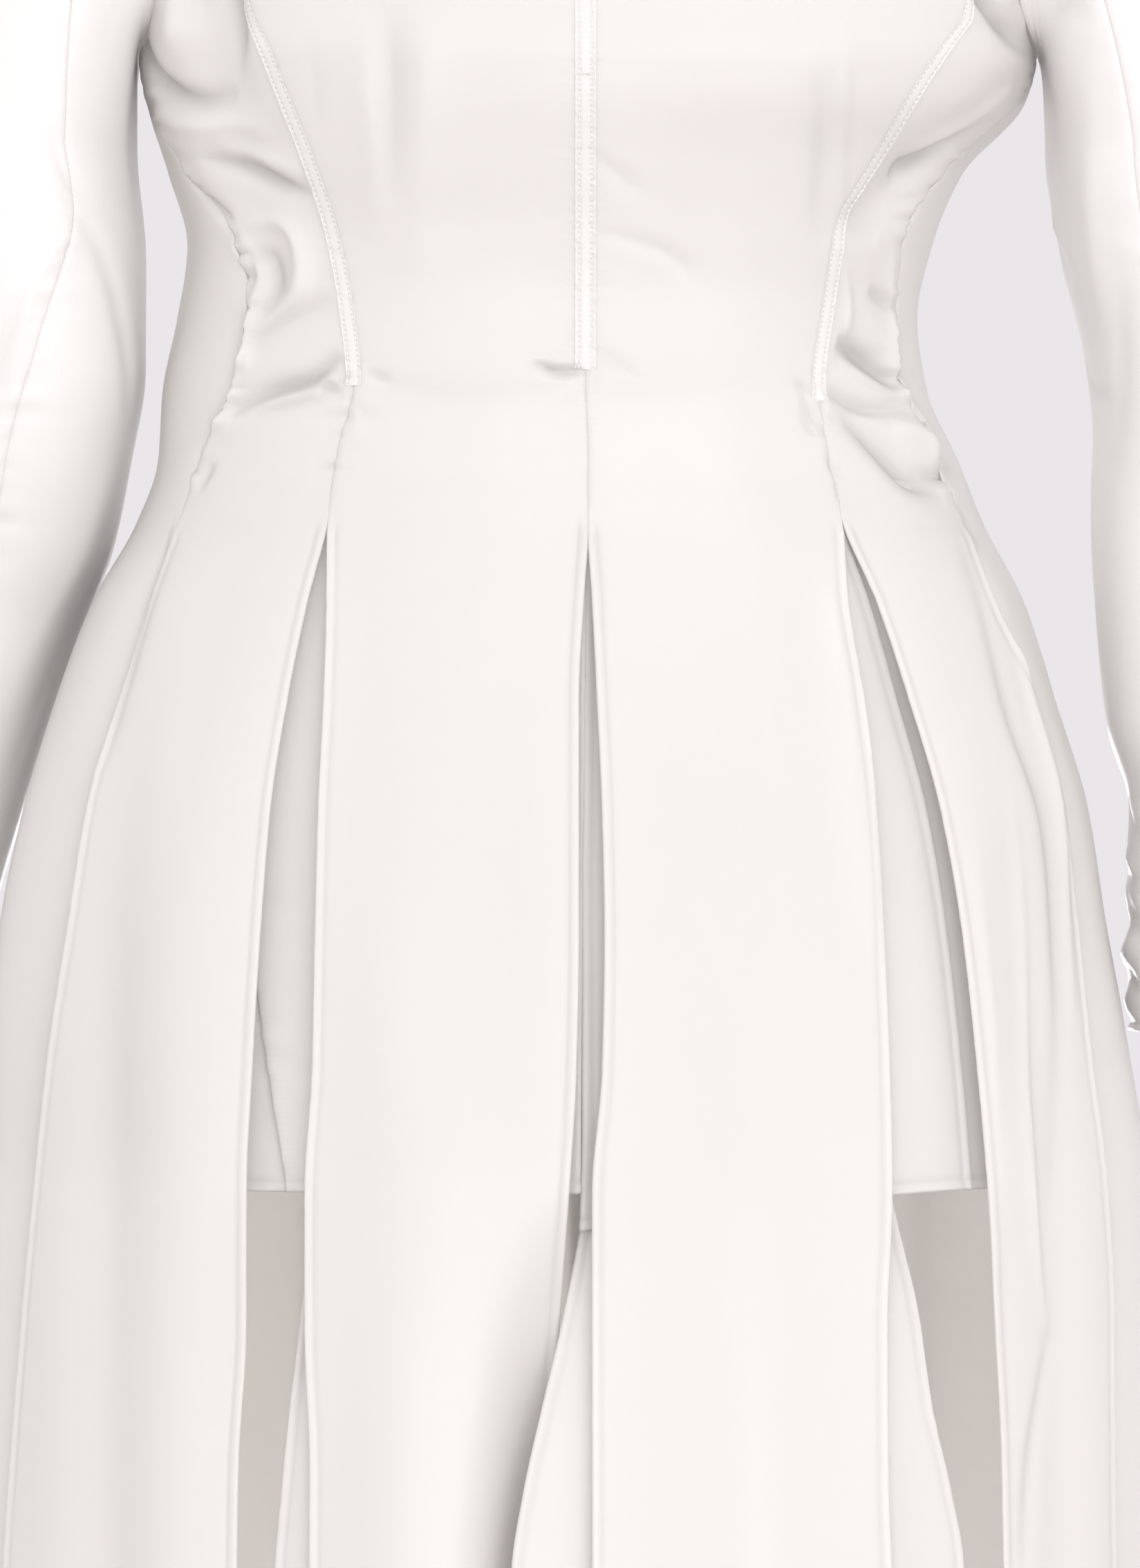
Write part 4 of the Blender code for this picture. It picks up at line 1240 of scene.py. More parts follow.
@dataclass
class OuterPanels:
    """The eight long panels of the outer dress.

    Args:
        creases: the creases that cross them.
    """

    creases: tuple[Crease, ...]

    def centre(self, side: Side, back: bool, step: float) -> np.ndarray:
        """The points of a panel beside the middle, from the neck and shoulder to the hem.

        Args:
            side: the panel's side.
            back: whether it is a back panel.
            step: the distance between rows.

        Returns:
            The points, in rows from the middle outwards.
        """
        share = spaced(CENTRE_WIDTH, BACK_COLUMN if back else FRONT_COLUMN)
        share = np.sort(np.append(share, NECK_SHARES[NECK_REACHES.index(NECK_HALF_WIDTH)]))
        reach = np.interp(share, NECK_SHARES, NECK_REACHES)
        neck = Form.neck_height(reach, back)
        top = np.where(reach < NECK_HALF_WIDTH, neck, Form.shoulder_height(reach))
        top_angle = Form.angle_of(side.value * reach, top, back)
        base = float(Form.armhole_height(PRINCESS_STEP))
        rows = BACK_ARMHOLE_ROWS if back else FRONT_ARMHOLE_ROWS
        steps = np.linspace(0, PRINCESS_STEP, rows, endpoint=False)[:, None]
        edge_z = Form.armhole_height(steps)
        down = (ARMHOLE_TOP - edge_z) / (ARMHOLE_TOP - base)
        inner, outer = self.centre_edges(side, back, np.array([base]))
        z = between(top[None], base, down)
        angle = between(top_angle[None], between(inner, outer, share)[None], down)
        angle = angle + share * (Form.armhole_angle(side, edge_z, back) - between(top_angle[-1], outer, down))
        upper = Form.point(angle, z)
        upper[..., 1] += (1 if back else -1) * SHOULDER_GAP / 2 * MM * (1 - down)
        low = heights(base, HEM, step, waist=0.0 if back else FINE_ROW)[:, None]
        inner, outer = self.centre_edges(side, back, low)
        lower = Form.point(between(inner, outer, share[None]), low)
        return np.vstack([upper, lower])

    @staticmethod
    def centre_edges(side: Side, back: bool, z: np.ndarray) -> tuple[np.ndarray, np.ndarray]:
        """The angles of a centre panel's inner and outer edge."""
        gap = side.value * Form.gap_angle(z)
        if back:
            lap = LAP * ease((SLIT_TOP - z) / LAP_RAMP) if side is Side.LEFT else 0.0
            slit = side.value * Form.turn(BACK_EDGES.read("centre", z) - lap, z)
            return side.value * 180 - gap - slit, Form.back_edge("princess_in", side, z) + gap
        return Form.front_edge("centre_" + side.word, z) + gap, Form.front_edge(side.word + "_in", z) - gap

    def side(self, side: Side, back: bool, step: float) -> np.ndarray:
        """The points of a panel beside the side seam, from the lower armhole to the hem.

        Args:
            side: the panel's side.
            back: whether it is a side back panel.
            step: the distance between rows.

        Returns:
            The points, in rows from the princess seam outwards.
        """
        width = SIDE_BACK_WIDTH if back else SIDE_FRONT_WIDTH
        share = spaced(width, BACK_COLUMN if back else SIDE_FRONT_COLUMN)
        top_z = Form.armhole_height(between(PRINCESS_STEP, UNDERARM_STEP, share))
        top = Form.armhole_angle(side, top_z, back)
        levels = heights(top_z[0], SIDE_BASE, step if back else FINE_ROW, fine=False)[:-1, None]
        down = (top_z[0] - levels) / (top_z[0] - SIDE_BASE)
        princess, seam = self.side_edges(side, back, np.array([SIDE_BASE]))
        z = between(top_z[None], SIDE_BASE, down)
        angle = between(top[None], between(princess, seam, share)[None], down)
        first, last = self.side_edges(side, back, z[:, :1])[0], self.side_edges(side, back, z[:, -1:])[1]
        angle = angle + (1 - share) * (first - between(top[0], princess, down))
        angle = angle + share * (last - between(top[-1], seam, down))
        low = heights(SIDE_BASE, HEM, step, waist=0.0 if back else FINE_ROW)[:, None]
        princess, seam = self.side_edges(side, back, low)
        out = np.zeros((1, 1))
        if back:
            lap = ease((SLIT_TOP - low) / LAP_RAMP)
            princess = princess + side.value * Form.turn(LAP * lap, low)
            seam = seam - side.value * Form.turn(LAP * lap, low)
            beside = sum(np.exp(-((away * width / LAP_FADE) ** 2)) for away in (share, 1 - share))
            out = -LAP_DEPTH * lap * beside[None]
        return np.vstack([Form.point(angle, z), Form.point(between(princess, seam, share[None]), low, out)])

    @staticmethod
    def side_edges(side: Side, back: bool, z: np.ndarray) -> tuple[np.ndarray, np.ndarray]:
        """The angles of a side panel's princess edge and side seam edge."""
        gap = side.value * Form.gap_angle(z)
        if back:
            return Form.back_edge("princess_out", side, z) - gap, Form.side_back_edge(side, z) + gap
        return Form.front_edge(side.word + "_out", z) + gap, Form.front_edge("side_" + side.word, z) - gap

    @staticmethod
    def tucked(points: np.ndarray) -> np.ndarray:
        """Turns the right edge of the front left panel in towards the hem."""
        away = np.linalg.norm(points - points[:, -1:], axis=2) / MM
        depth = CENTRE_TUCK.read("depth", points[..., 2] / MM)
        points[..., 1] += depth * np.exp(-((away / TUCK_FADE) ** 2)) * MM
        return points

    @staticmethod
    def lapped(points: np.ndarray) -> np.ndarray:
        """Lays the left edge of the back left panel under the back right panel, below the slit's top."""
        away = np.linalg.norm(points - points[:, :1], axis=2) / MM
        lap = ease((SLIT_TOP - points[..., 2] / MM) / LAP_RAMP)
        points[..., 1] -= LAP_DEPTH * lap * np.exp(-((away / LAP_FADE) ** 2)) * MM
        return points

    def pieces(self) -> list[ClothPiece]:
        """The eight panels with their seams, hems and creases."""
        made = []
        for side in Side:
            for back in (False, True):
                made.append(self.piece(side, back, True))
                made.append(self.piece(side, back, False))
        return made

    def piece(self, side: Side, back: bool, central: bool) -> ClothPiece:
        """One panel with its seams, hems and creases."""
        step = BACK_ROW if back else FRONT_ROW
        points = self.centre(side, back, step) if central else self.side(side, back, step)
        from_left = (side is Side.RIGHT) != back
        points = points if from_left else points[:, ::-1]
        if central and side is Side.LEFT:
            points = self.lapped(points) if back else self.tucked(points)
        inner, outer = (Edge.LEFT, Edge.RIGHT) if from_left else (Edge.RIGHT, Edge.LEFT)
        seed = 10 * (side.value + 2) + 4 * back + 2 * central
        name = ("" if central else "side_") + ("back_" if back else "front_") + side.word + "_panel"
        reliefs = [
            BODY_DRIFT,
            RolledHem(inner, SLIT_TOP, seed + 1),
            RolledHem(outer, SLIT_TOP, seed + 2),
            RolledHem(Edge.BOTTOM, -900, seed + 3),
            SewnEdge(inner, SLIT_TOP),
            SewnEdge(outer, SLIT_TOP),
            RolledHem(Edge.TOP, 100, seed + 4, 2.0, 0.3, NECK_HALF_WIDTH) if central else SewnEdge(Edge.TOP),
            *self.seam_puckers(inner, outer, central, back, side),
            *self.creases,
        ]
        return ClothPiece(name, Grid(points), Slot.SATIN, tuple(reliefs))

    @staticmethod
    def seam_puckers(inner: Edge, outer: Edge, central: bool, back: bool, side: Side) -> list[Relief]:
        """The puckers along a panel's two seams: fine beside the tapes, coarse below them."""
        middle, princess, flank = 10 + back, 20 + side.value + 3 * back, 30 + side.value
        if central:
            seams = ((inner, Seam.MIDDLE, middle), (outer, Seam.PRINCESS, princess))
        else:
            seams = ((inner, Seam.PRINCESS, princess), (outer, Seam.SIDE, flank))
        return [
            SeamPucker(edge, row.top, row.bottom, row.period, row.depth, row.reach, seed + int(row.period))
            for edge, seam, seed in seams
            for row in SEAM_PUCKERS[seam]
        ]


@dataclass
class SleevePieces:
    """The upper and the under piece of a sleeve.

    Args:
        side: the sleeve's side.
        table: its sections from the armpit to the cuff.
        seam: the step of its front seam at some heights.
        rows: its creases, placed by step and height.
    """

    side: Side
    table: Table
    seam: Table
    rows: tuple[CreaseRow, ...]

    def ring(self, step: np.ndarray, z: np.ndarray) -> np.ndarray:
        """Points of the sleeve's sections. Steps are counted from the outer side, round the front."""
        inner, outer = self.table.read("inner", z), self.table.read("outer", z)
        front, back = self.table.read("front", z), self.table.read("back", z)
        turn = 2 * np.pi * step / ARMHOLE_STEPS
        x = (outer + inner) / 2 + (outer - inner) / 2 * np.cos(turn)
        y = (front + back) / 2 - (back - front) / 2 * np.sin(turn)
        return np.stack(np.broadcast_arrays(self.side.value * x, y, z), axis=-1) * MM

    def armhole(self, step: np.ndarray) -> np.ndarray:
        """Points of the armhole, just outside the bodice's edge."""
        step = step % ARMHOLE_STEPS
        z = Form.armhole_height(step)
        front = Form.point(Form.armhole_angle(self.side, z, False), z)
        back = Form.point(Form.armhole_angle(self.side, z, True), z)
        point = np.where((step > UNDERARM_STEP)[..., None], back, front)
        point[..., 1] *= np.clip(np.minimum(step, ARMHOLE_STEPS - step), 0, 1)
        point[..., 0] += self.side.value * SLEEVE_GAP * MM
        return point

    def steps(self, part: SleevePart, z: np.ndarray) -> np.ndarray:
        """The steps of a piece's columns at some heights, between its back and front seam."""
        front = self.seam.read("step", z)
        upper = part is SleevePart.UPPER
        first, last = (BACK_SEAM_STEP, front) if upper else (front, BACK_SEAM_STEP + ARMHOLE_STEPS)
        share = spaced(UPPER_SLEEVE_WIDTH if upper else UNDER_SLEEVE_WIDTH, SLEEVE_COLUMN)[None]
        return between(first + SLEEVE_SEAM_GAP, last - SLEEVE_SEAM_GAP, share)

    @staticmethod
    def head(start: np.ndarray, end: np.ndarray, t: np.ndarray) -> np.ndarray:
        """Points of the curves from the armhole to the sleeve's first section."""
        reach = start.copy()
        reach[..., 0] = between(start[..., 0], end[..., 0], SLEEVE_HEAD_BEND)
        return start * (1 - t) ** 2 + reach * 2 * t * (1 - t) + end * t * t

    def points(self, part: SleevePart) -> np.ndarray:
        """The points of the upper or under piece, from the armhole to the cuff."""
        top, cuff = self.table.rows[0][0], self.table.rows[-1][0]
        t = np.linspace(0, 1, SLEEVE_HEAD_ROWS, endpoint=False)[:, None, None]
        step = self.steps(part, between(HEAD_SEAM_HEIGHT, top, t[..., 0]))
        head = self.head(self.armhole(step), self.ring(step, np.array([[top]])), t)
        low = heights(top, cuff, SLEEVE_ROW)[:, None]
        return np.vstack([head, self.ring(self.steps(part, low), low)])

    def creases(self) -> list[Crease]:
        """The sleeve's creases."""
        made = []
        for row in self.rows:
            path = [self.spot(step, z) for step, z in row.places]
            made.append(Crease(np.array(path), row.width, row.depth, row.fade))
        return made

    def spot(self, step: float, z: float) -> np.ndarray:
        """The point of the sleeve at a step and a height."""
        top = self.table.rows[0][0]
        if z <= top:
            return self.ring(np.array(step), np.array(z))
        start, end = self.armhole(np.array(step)), self.ring(np.array(step), np.array(top))
        t = 1 - math.sqrt(max(0.0, min(1.0, (z * MM - end[2]) / (start[2] - end[2]))))
        return self.head(start, end, t)

    def pieces(self) -> list[ClothPiece]:
        """The sleeve's two pieces with their seams, cuff hem and creases."""
        made = []
        creases = self.creases()
        cuff = self.table.rows[-1][0]
        right = self.side is Side.RIGHT
        seed = 60 + self.side.value
        for part in SleevePart:
            points = self.points(part)
            points = points[:, ::-1] if right else points
            left_front = right == (part is SleevePart.UPPER)
            front, back = (Edge.LEFT, Edge.RIGHT) if left_front else (Edge.RIGHT, Edge.LEFT)
            reliefs = (
                Drift(0.7, 90, 220, seed),
                *(SewnEdge(edge) for edge in (Edge.LEFT, Edge.RIGHT, Edge.TOP)),
                SeamPucker(Edge.TOP, 0, -270, 9.0, 0.35, 12.0, seed + 3),
                SeamPucker(front, -60, -290, 9.0, 0.3, 9.0, seed + 6),
                SeamPucker(front, -318, -470, 5.4, 0.7, 6.0, seed + 8),
                SeamPucker(front, -318, -470, 11.0, 0.6, 12.0, seed + 9),
                SeamPucker(front, -460, cuff, 12.0, 0.5, 10.0, seed + 12),
                SeamPucker(back, -60, cuff, 12.0, 0.6, 11.0, seed + 15),
                RolledHem(Edge.BOTTOM, cuff + 60, seed + 18, 2.4, 0.5),
                CuffCrumple(cuff, 120.0 if right else 70.0, 1.1, seed + 21),
                *creases,
            )
            name = f"{self.side.word}_{part.value}_sleeve"
            made.append(ClothPiece(name, Grid(points), Slot.SATIN, reliefs))
        return made


@dataclass(frozen=True)
class CuffCrumple(Relief):
    """Small folds round the end of a sleeve.

    Args:
        cuff: the height of the sleeve's end.
        reach: how far up they run.
        depth: how deep they are.
        seed: picks their places.
    """

    cuff: float
    reach: float
    depth: float
    seed: int

    def height(self, grid: Grid) -> np.ndarray:
        """How far the folds move each point out."""
        draw = np.random.default_rng(self.seed)
        z = grid.z
        around = grid.points[..., 0] / MM * draw.uniform(0.7, 1) + grid.points[..., 1] / MM
        total = np.zeros(z.shape)
        for _ in range(CRUMPLE_WAVES):
            lean, period = draw.uniform(-0.5, 0.5), draw.uniform(16, 34)
            sway = 5 * np.sin(around / draw.uniform(9, 18) + draw.uniform(0, 6))
            total += np.sin(2 * np.pi * (z + lean * around + sway) / period + draw.uniform(0, 6))
        fade = ease((self.cuff + self.reach - z) / self.reach)
        return self.depth * total / 2 * fade


UNDERSKIRT_LAYOUT = (
    ("front_left", "side_left", "centre", "front", 3.4, 0.0),
    ("front_right", "centre", "free_right", "front", 3.4, 15.0),
    ("side_left", "back_left", "side_left", "side", 3.8, 0.0),
    ("side_right", "lapped_right", "back_right", "lapped", 3.8, 0.0),
    ("back", "back_right", "back_left", "side", 6.0, 0.0),
)
UNDERSKIRT_SEAMS = ("side_left", "back_left", "back_right")


class InnerLayers:
    """The short underskirt and the three long panels inside the front slits."""

    @staticmethod
    def edges(z: np.ndarray) -> dict[str, np.ndarray]:
        """The angles of the underskirt's seams and free edges at some heights."""
        drop = (UNDERSKIRT_TOP - z) / (UNDERSKIRT_TOP - UNDERSKIRT_HEM)
        slit = FRONT_EDGES.read("right_out", z)
        return {
            "back_left": -100.0 + 0 * z,
            "side_left": between(-40.0, -27.5, drop),
            "centre": Form.angle_of(between(0.0, -3.0, drop), z),
            "free_right": Form.angle_of(slit + between(1.0, 0.5, drop), z),
            "lapped_right": Form.angle_of(slit - between(3.0, 12.0, drop), z),
            "back_right": 100.0 + 0 * z,
        }

    def underskirt(self, start: str, end: str, inset: str, step: float, sag: float) -> np.ndarray:
        """The points of a piece of the underskirt between two named edges.

        Args:
            start, end: the edges.
            inset: the column of insets that says how far in it hangs.
            step: the distance between rows and columns.
            sag: how much lower its first corner hangs than its last.

        Returns:
            The points.
        """
        level = heights(UNDERSKIRT_TOP, UNDERSKIRT_HEM, step)[:, None]
        edges = self.edges(level)
        first, second = edges[start] + Form.gap_angle(level), edges[end] - Form.gap_angle(level)
        second = np.where(second < first, second + 360, second)
        width = float(np.radians(second - first).mean()) * MEAN_RADIUS
        share = spaced(width, step)[None]
        drop = (UNDERSKIRT_TOP - level) / (UNDERSKIRT_TOP - UNDERSKIRT_HEM)
        z = level - sag * drop * (1 - share) ** 1.6
        out = -INSETS.read(inset, level)
        return Form.point(between(first, second, share), z, out, INNER_FOLDS)

    @staticmethod
    def flap(word: str) -> np.ndarray:
        """The points of one long inner panel."""
        level = heights(UNDERSKIRT_TOP, HEM, FLAP_ROW)[:, None]
        first = Form.angle_of(INNER_EDGES.read(word + "_a", level), level)
        second = Form.angle_of(INNER_EDGES.read(word + "_b", level), level)
        share = spaced(FLAP_WIDTH, FLAP_COLUMN)[None]
        out = -INSETS.read("inner", level)
        return Form.point(between(first, second, share), level, out, INNER_FOLDS)

    def pieces(self) -> list[ClothPiece]:
        """The eight inner pieces with their seams, hems and soft folds."""
        made = []
        for number, (word, start, end, inset, step, sag) in enumerate(UNDERSKIRT_LAYOUT):
            edges = {Edge.LEFT: start, Edge.RIGHT: end}
            sewn = [edge for edge, name in edges.items() if name in UNDERSKIRT_SEAMS]
            reliefs = [Drift(1.1, 70, 230, 80 + number), RolledHem(Edge.BOTTOM, -600, 90 + number, 3.4, 0.7)]
            reliefs += [SewnEdge(edge) for edge in sewn]
            reliefs += [SeamPucker(edge, -480, -745, 12.0, 1.0, 11.0, 100) for edge in sewn]
            reliefs += [RolledHem(edge, -450, 110 + number) for edge in edges if edge not in sewn]
            points = self.underskirt(start, end, inset, step, sag)
            made.append(ClothPiece("underskirt_" + word, Grid(points), Slot.UNDERSKIRT, tuple(reliefs)))
        for number, word in enumerate(("left", "centre", "right")):
            reliefs = (
                Drift(1.0, 40, 300, 120 + number),
                RolledHem(Edge.LEFT, -450, 130 + number),
                RolledHem(Edge.RIGHT, -450, 140 + number),
                RolledHem(Edge.BOTTOM, -1100, 150 + number),
            )
            made.append(ClothPiece("inner_panel_" + word, Grid(self.flap(word)), Slot.UNDERSKIRT, reliefs))
        return made


@dataclass
class TapePiece(ClothPiece):
    """A piece of tape, with painted shade between its stitches."""

    shaded: np.ndarray = field(default_factory=lambda: np.zeros(1))

    def shading(self) -> np.ndarray:
        """How much painted shade each point gets, from 0 to 1."""
        return self.shaded.ravel()


@dataclass
class SeamTape:
    """A tape laid over a bodice seam and stitched down along both edges.

    Args:
        node: its CAD node.
        column: the column of front edges that it follows.
        start, end: the heights between which it runs.
        width: its width.
        inset: how far its stitch rows lie inside its edges.
        reliefs: what lifts the cloth under it.
    """

    node: str
    column: str
    start: float
    end: float
    width: float
    inset: float
    reliefs: tuple[Relief, ...]

    def seam(self, z: np.ndarray) -> np.ndarray:
        """The seam's angle at some heights."""
        base = float(Form.armhole_height(PRINCESS_STEP))
        down = np.clip((FRONT_NECK_HEIGHT - z) / (FRONT_NECK_HEIGHT - base), 0, 1)
        low = Form.front_edge(self.column, z)
        return np.where(z > base, low * down, low)

    def laid(self, z: np.ndarray, offset: np.ndarray, out: float) -> Grid:
        """Points a distance beside the seam and outside the cloth.

        Args:
            z: the heights.
            offset: the distances beside the seam, to the right of it.
            out: how far outside the cloth.

        Returns:
            The points, lifted with the cloth.
        """
        angle = self.seam(z)
        middle = Form.point(angle, z)
        beside = unit(Form.point(angle + 0.4, z) - Form.point(angle - 0.4, z))
        grid = Grid(middle + beside * offset[..., None] * MM)
        lift = out + sum((relief.height(grid) for relief in self.reliefs), np.zeros(grid.across.shape))
        return Grid(grid.points + grid.normal * lift[..., None] * MM)

    def build(self, finish: bpy.types.Material) -> bpy.types.Object:
        """Makes the tape.

        Args:
            finish: its material.

        Returns:
            The tape.
        """
        z = np.arange(self.start, self.end, -TAPE_ROW)[:, None]
        offset = np.broadcast_to(np.array(TAPE_SHARES)[None] * self.width, (len(z), len(TAPE_SHARES)))
        grid = self.laid(z, offset, TAPE_LIFT)
        row = self.width / 2 - self.inset
        pull = 0.5 + 0.5 * np.cos(2 * np.pi * (z - self.start + STITCH_OFFSET) / STITCH_PITCH)
        line = np.exp(-(((np.abs(offset) - row) / 0.5) ** 2))
        sink = -(0.2 + 0.35 * (1 - pull)) * line
        edge = 0.22 * np.exp(-(((np.abs(offset) - self.width / 2) / 0.5) ** 2))
        ripple = 0.2 * wander(z + 0.8 * offset, row - np.abs(offset) + 1.2, 4.6, 1.8, 7)
        lift = sink + edge + ripple
        # Painted shade along the stitch rows, darkest between stitches.
        piece = TapePiece(self.node, grid, Slot.TAPE, (), 0.5 * (1 - pull) * line)
        outer = grid.points + grid.normal * lift[..., None] * MM
        inner = grid.points - grid.normal * TAPE_DEPTH * MM
        made = piece.shell(outer, inner, np.full(lift.shape, TAPE_WALL), finish)
        declare(made, self.node)
        log.info("%s: %d faces", made.name, len(made.data.polygons))
        return made

    def stitches(self, stitch: bpy.types.Object, finish: bpy.types.Material) -> bpy.types.Object:
        """Sews the tape down: two rows of stitches and a bar tack at its lower end.

        Args:
            stitch: one stitch, lying along +Z at the origin.
            finish: the thread's material.

        Returns:
            All the tape's stitches as one piece.
        """
        rows = []
        row = self.width / 2 - self.inset
        for across in (-row, row):
            z = np.arange(self.start - STITCH_OFFSET, self.end + 2.5, -STITCH_PITCH)
            rows.append((z, np.full(len(z), across), -0.05))
        bar = np.arange(-self.width / 2, self.width / 2 + 0.1, BAR_TACK_PITCH)
        rows.append((np.full(len(bar), self.end + 1.2) + 0.3 * np.sin(bar * 5), bar, 0.3))
        pieces = []
        for z, across, out in rows:
            level, offset = z[:, None] + np.array([[0.4, 0.0]]), across[:, None] + np.array([[0.0, 0.3]])
            spots = self.laid(level, offset, out)
            pieces += zip(spots.points[:, 0], spots.normal[:, 0], self.along(z))
        mesh = bpy.data.meshes.new(self.node + "_stitches")
        form = bmesh.new()
        for spot, normal, along in pieces:
            copy = bmesh.new()
            copy.from_mesh(stitch.data)
            copy.transform(facing(spot, normal, along))
            part = bpy.data.meshes.new("stitch")
            copy.to_mesh(part)
            copy.free()
            form.from_mesh(part)
            bpy.data.meshes.remove(part)
        form.to_mesh(mesh)
        form.free()
        mesh.shade_smooth()
        mesh.materials.clear()
        mesh.materials.append(finish)
        made = bpy.data.objects.new(self.node + "_stitches", mesh)
        bpy.context.scene.collection.objects.link(made)
        declare(made, self.node)
        log.info("%s: %d stitches", made.name, len(pieces))
        return made

    def along(self, z: np.ndarray) -> np.ndarray:
        """The way that the tape runs at each stitch."""
        upper, lower = Form.point(self.seam(z + 1), z + 1), Form.point(self.seam(z - 1), z - 1)
        return unit(upper - lower)


def facing(spot: np.ndarray, normal: np.ndarray, along: np.ndarray) -> Matrix:
    """The matrix that lays a stitch at a spot, along the seam and out of the cloth."""
    side = unit(np.cross(along, normal))
    normal = unit(np.cross(side, along))
    turn = Matrix(np.stack([side, -normal, along], axis=1).tolist()).to_4x4()
    return Matrix.Translation(spot.tolist()) @ turn


def declare(piece: bpy.types.Object, node: str) -> None:
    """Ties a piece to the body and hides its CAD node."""
    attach(piece, BODY)
    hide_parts(node)


def make_stitch() -> bpy.types.Object:
    """Models one stitch: a short rounded thread along +Z."""
    bpy.ops.object.select_all(action="DESELECT")
    bpy.ops.mesh.primitive_uv_sphere_add(segments=8, ring_count=5, radius=0.5 * MM)
    stitch = bpy.context.object
    stitch.scale = (0.72, 0.75, 1.5)
    bpy.ops.object.transform_apply(location=False, rotation=False, scale=True)
    return stitch


@dataclass(frozen=True)
class SatinFinish:
    """The look of a satin.

    Args:
        name: the material's name.
        colour: its linear colour.
        roughness: how blurred its sheen is.
        weave: how much its threads stand out.
        ripple: how much the stitching gathers it beside a seam.
        sheer: how much light passes through it.
    """

    name: str
    colour: tuple[float, float, float]
    roughness: float
    weave: float = 1.0
    ripple: float = 1.0
    sheer: float = 0.45

    def material(self, surface: bpy.types.NodeTree) -> bpy.types.Material:
        """Makes the material.

        Args:
            surface: the shared node group of the cloth's fine surface.

        Returns:
            The material.
        """
        made = bpy.data.materials.new(self.name)
        made.use_nodes = True
        tree = made.node_tree
        shader = tree.nodes["Principled BSDF"]
        shader.inputs["Roughness"].default_value = self.roughness
        shader.inputs["Specular IOR Level"].default_value = SPECULAR
        fine = tree.nodes.new("ShaderNodeGroup")
        fine.node_tree = surface
        fine.inputs["Weave"].default_value = self.weave
        fine.inputs["Ripple"].default_value = self.ripple
        fine.inputs["Colour"].default_value = (*self.colour, 1)
        through = tree.nodes.new("ShaderNodeBsdfTranslucent")
        through.inputs["Color"].default_value = (*THROUGH, 1)
        mix = tree.nodes.new("ShaderNodeMixShader")
        mix.inputs[0].default_value = self.sheer
        tree.links.new(fine.outputs["Colour"], shader.inputs["Base Color"])
        tree.links.new(fine.outputs["Normal"], shader.inputs["Normal"])
        tree.links.new(shader.outputs["BSDF"], mix.inputs[1])
        tree.links.new(through.outputs["BSDF"], mix.inputs[2])
        tree.links.new(mix.outputs["Shader"], tree.nodes["Material Output"].inputs["Surface"])
        made.diffuse_color = (*self.colour, 1)
        return made


def cloth_surface() -> bpy.types.NodeTree:
    """The node group of the satin's fine surface: long slubs, gathers beside seams, and painted shade in
    troughs, seam lines and stitch lines.
    """
    group = bpy.data.node_groups.new("cloth surface", "ShaderNodeTree")
    face = group.interface
    for name, kind in (("Weave", "Float"), ("Ripple", "Float"), ("Colour", "Color")):
        face.new_socket(name, in_out="INPUT", socket_type="NodeSocket" + kind)
    face.new_socket("Colour", in_out="OUTPUT", socket_type="NodeSocketColor")
    face.new_socket("Normal", in_out="OUTPUT", socket_type="NodeSocketVector")
    nodes, links = group.nodes, group.links
    entry, leave = nodes.new("NodeGroupInput"), nodes.new("NodeGroupOutput")
    layout = nodes.new("ShaderNodeUVMap")
    layout.uv_map = "cut"

    def slubs() -> bpy.types.NodeSocket:
        """Noise stretched along the cut's grain."""
        stretch = nodes.new("ShaderNodeVectorMath")
        stretch.operation = "MULTIPLY"
        stretch.inputs[1].default_value = SLUB_SCALE
        made = nodes.new("ShaderNodeTexNoise")
        made.inputs["Scale"].default_value = 1.0
        made.inputs["Detail"].default_value = 0.0
        links.new(layout.outputs["UV"], stretch.inputs[0])
        links.new(stretch.outputs["Vector"], made.inputs["Vector"])
        return made.outputs["Fac"]

    def sum_of(first: "bpy.types.NodeSocket", factor: "bpy.types.NodeSocket | float",
               second: "bpy.types.NodeSocket | float" = 0.0) -> bpy.types.NodeSocket:
        """A value times a factor, plus another value."""
        node = nodes.new("ShaderNodeMath")
        node.operation = "MULTIPLY_ADD"
        for socket, value in zip(node.inputs, (first, factor, second)):
            if isinstance(value, bpy.types.NodeSocket):
                links.new(value, socket)
            else:
                socket.default_value = value
        return node.outputs["Value"]

    threads = sum_of(sum_of(slubs(), SLUB_HEIGHT), entry.outputs["Weave"])
    seam = nodes.new("ShaderNodeAttribute")
    seam.attribute_name = "seam"
    split = nodes.new("ShaderNodeSeparateXYZ")
    links.new(layout.outputs["UV"], split.inputs["Vector"])
    phase = sum_of(split.outputs["Y"], 2 * math.pi / GATHER_PITCH)
    wave = nodes.new("ShaderNodeMath")
    wave.operation = "SINE"
    links.new(phase, wave.inputs[0])
    gather = sum_of(sum_of(wave.outputs["Value"], GATHER_HEIGHT), seam.outputs["Fac"])
    total = sum_of(gather, entry.outputs["Ripple"], threads)
    bump = nodes.new("ShaderNodeBump")
    bump.inputs["Distance"].default_value = 1.0
    bump.inputs["Strength"].default_value = BUMP_STRENGTH
    links.new(total, bump.inputs["Height"])
    links.new(bump.outputs["Normal"], leave.inputs["Normal"])
    # Painted shade: the colour's value is lowered where the shade attribute is set.
    painted_shade_colour = nodes.new("ShaderNodeHueSaturation")
    links.new(entry.outputs["Colour"], painted_shade_colour.inputs["Color"])
    shade = nodes.new("ShaderNodeAttribute")
    shade.attribute_name = "shade"
    links.new(sum_of(shade.outputs["Fac"], -SHADE_STRENGTH, 1.0), painted_shade_colour.inputs["Value"])
    links.new(painted_shade_colour.outputs["Color"], leave.inputs["Colour"])
    return group


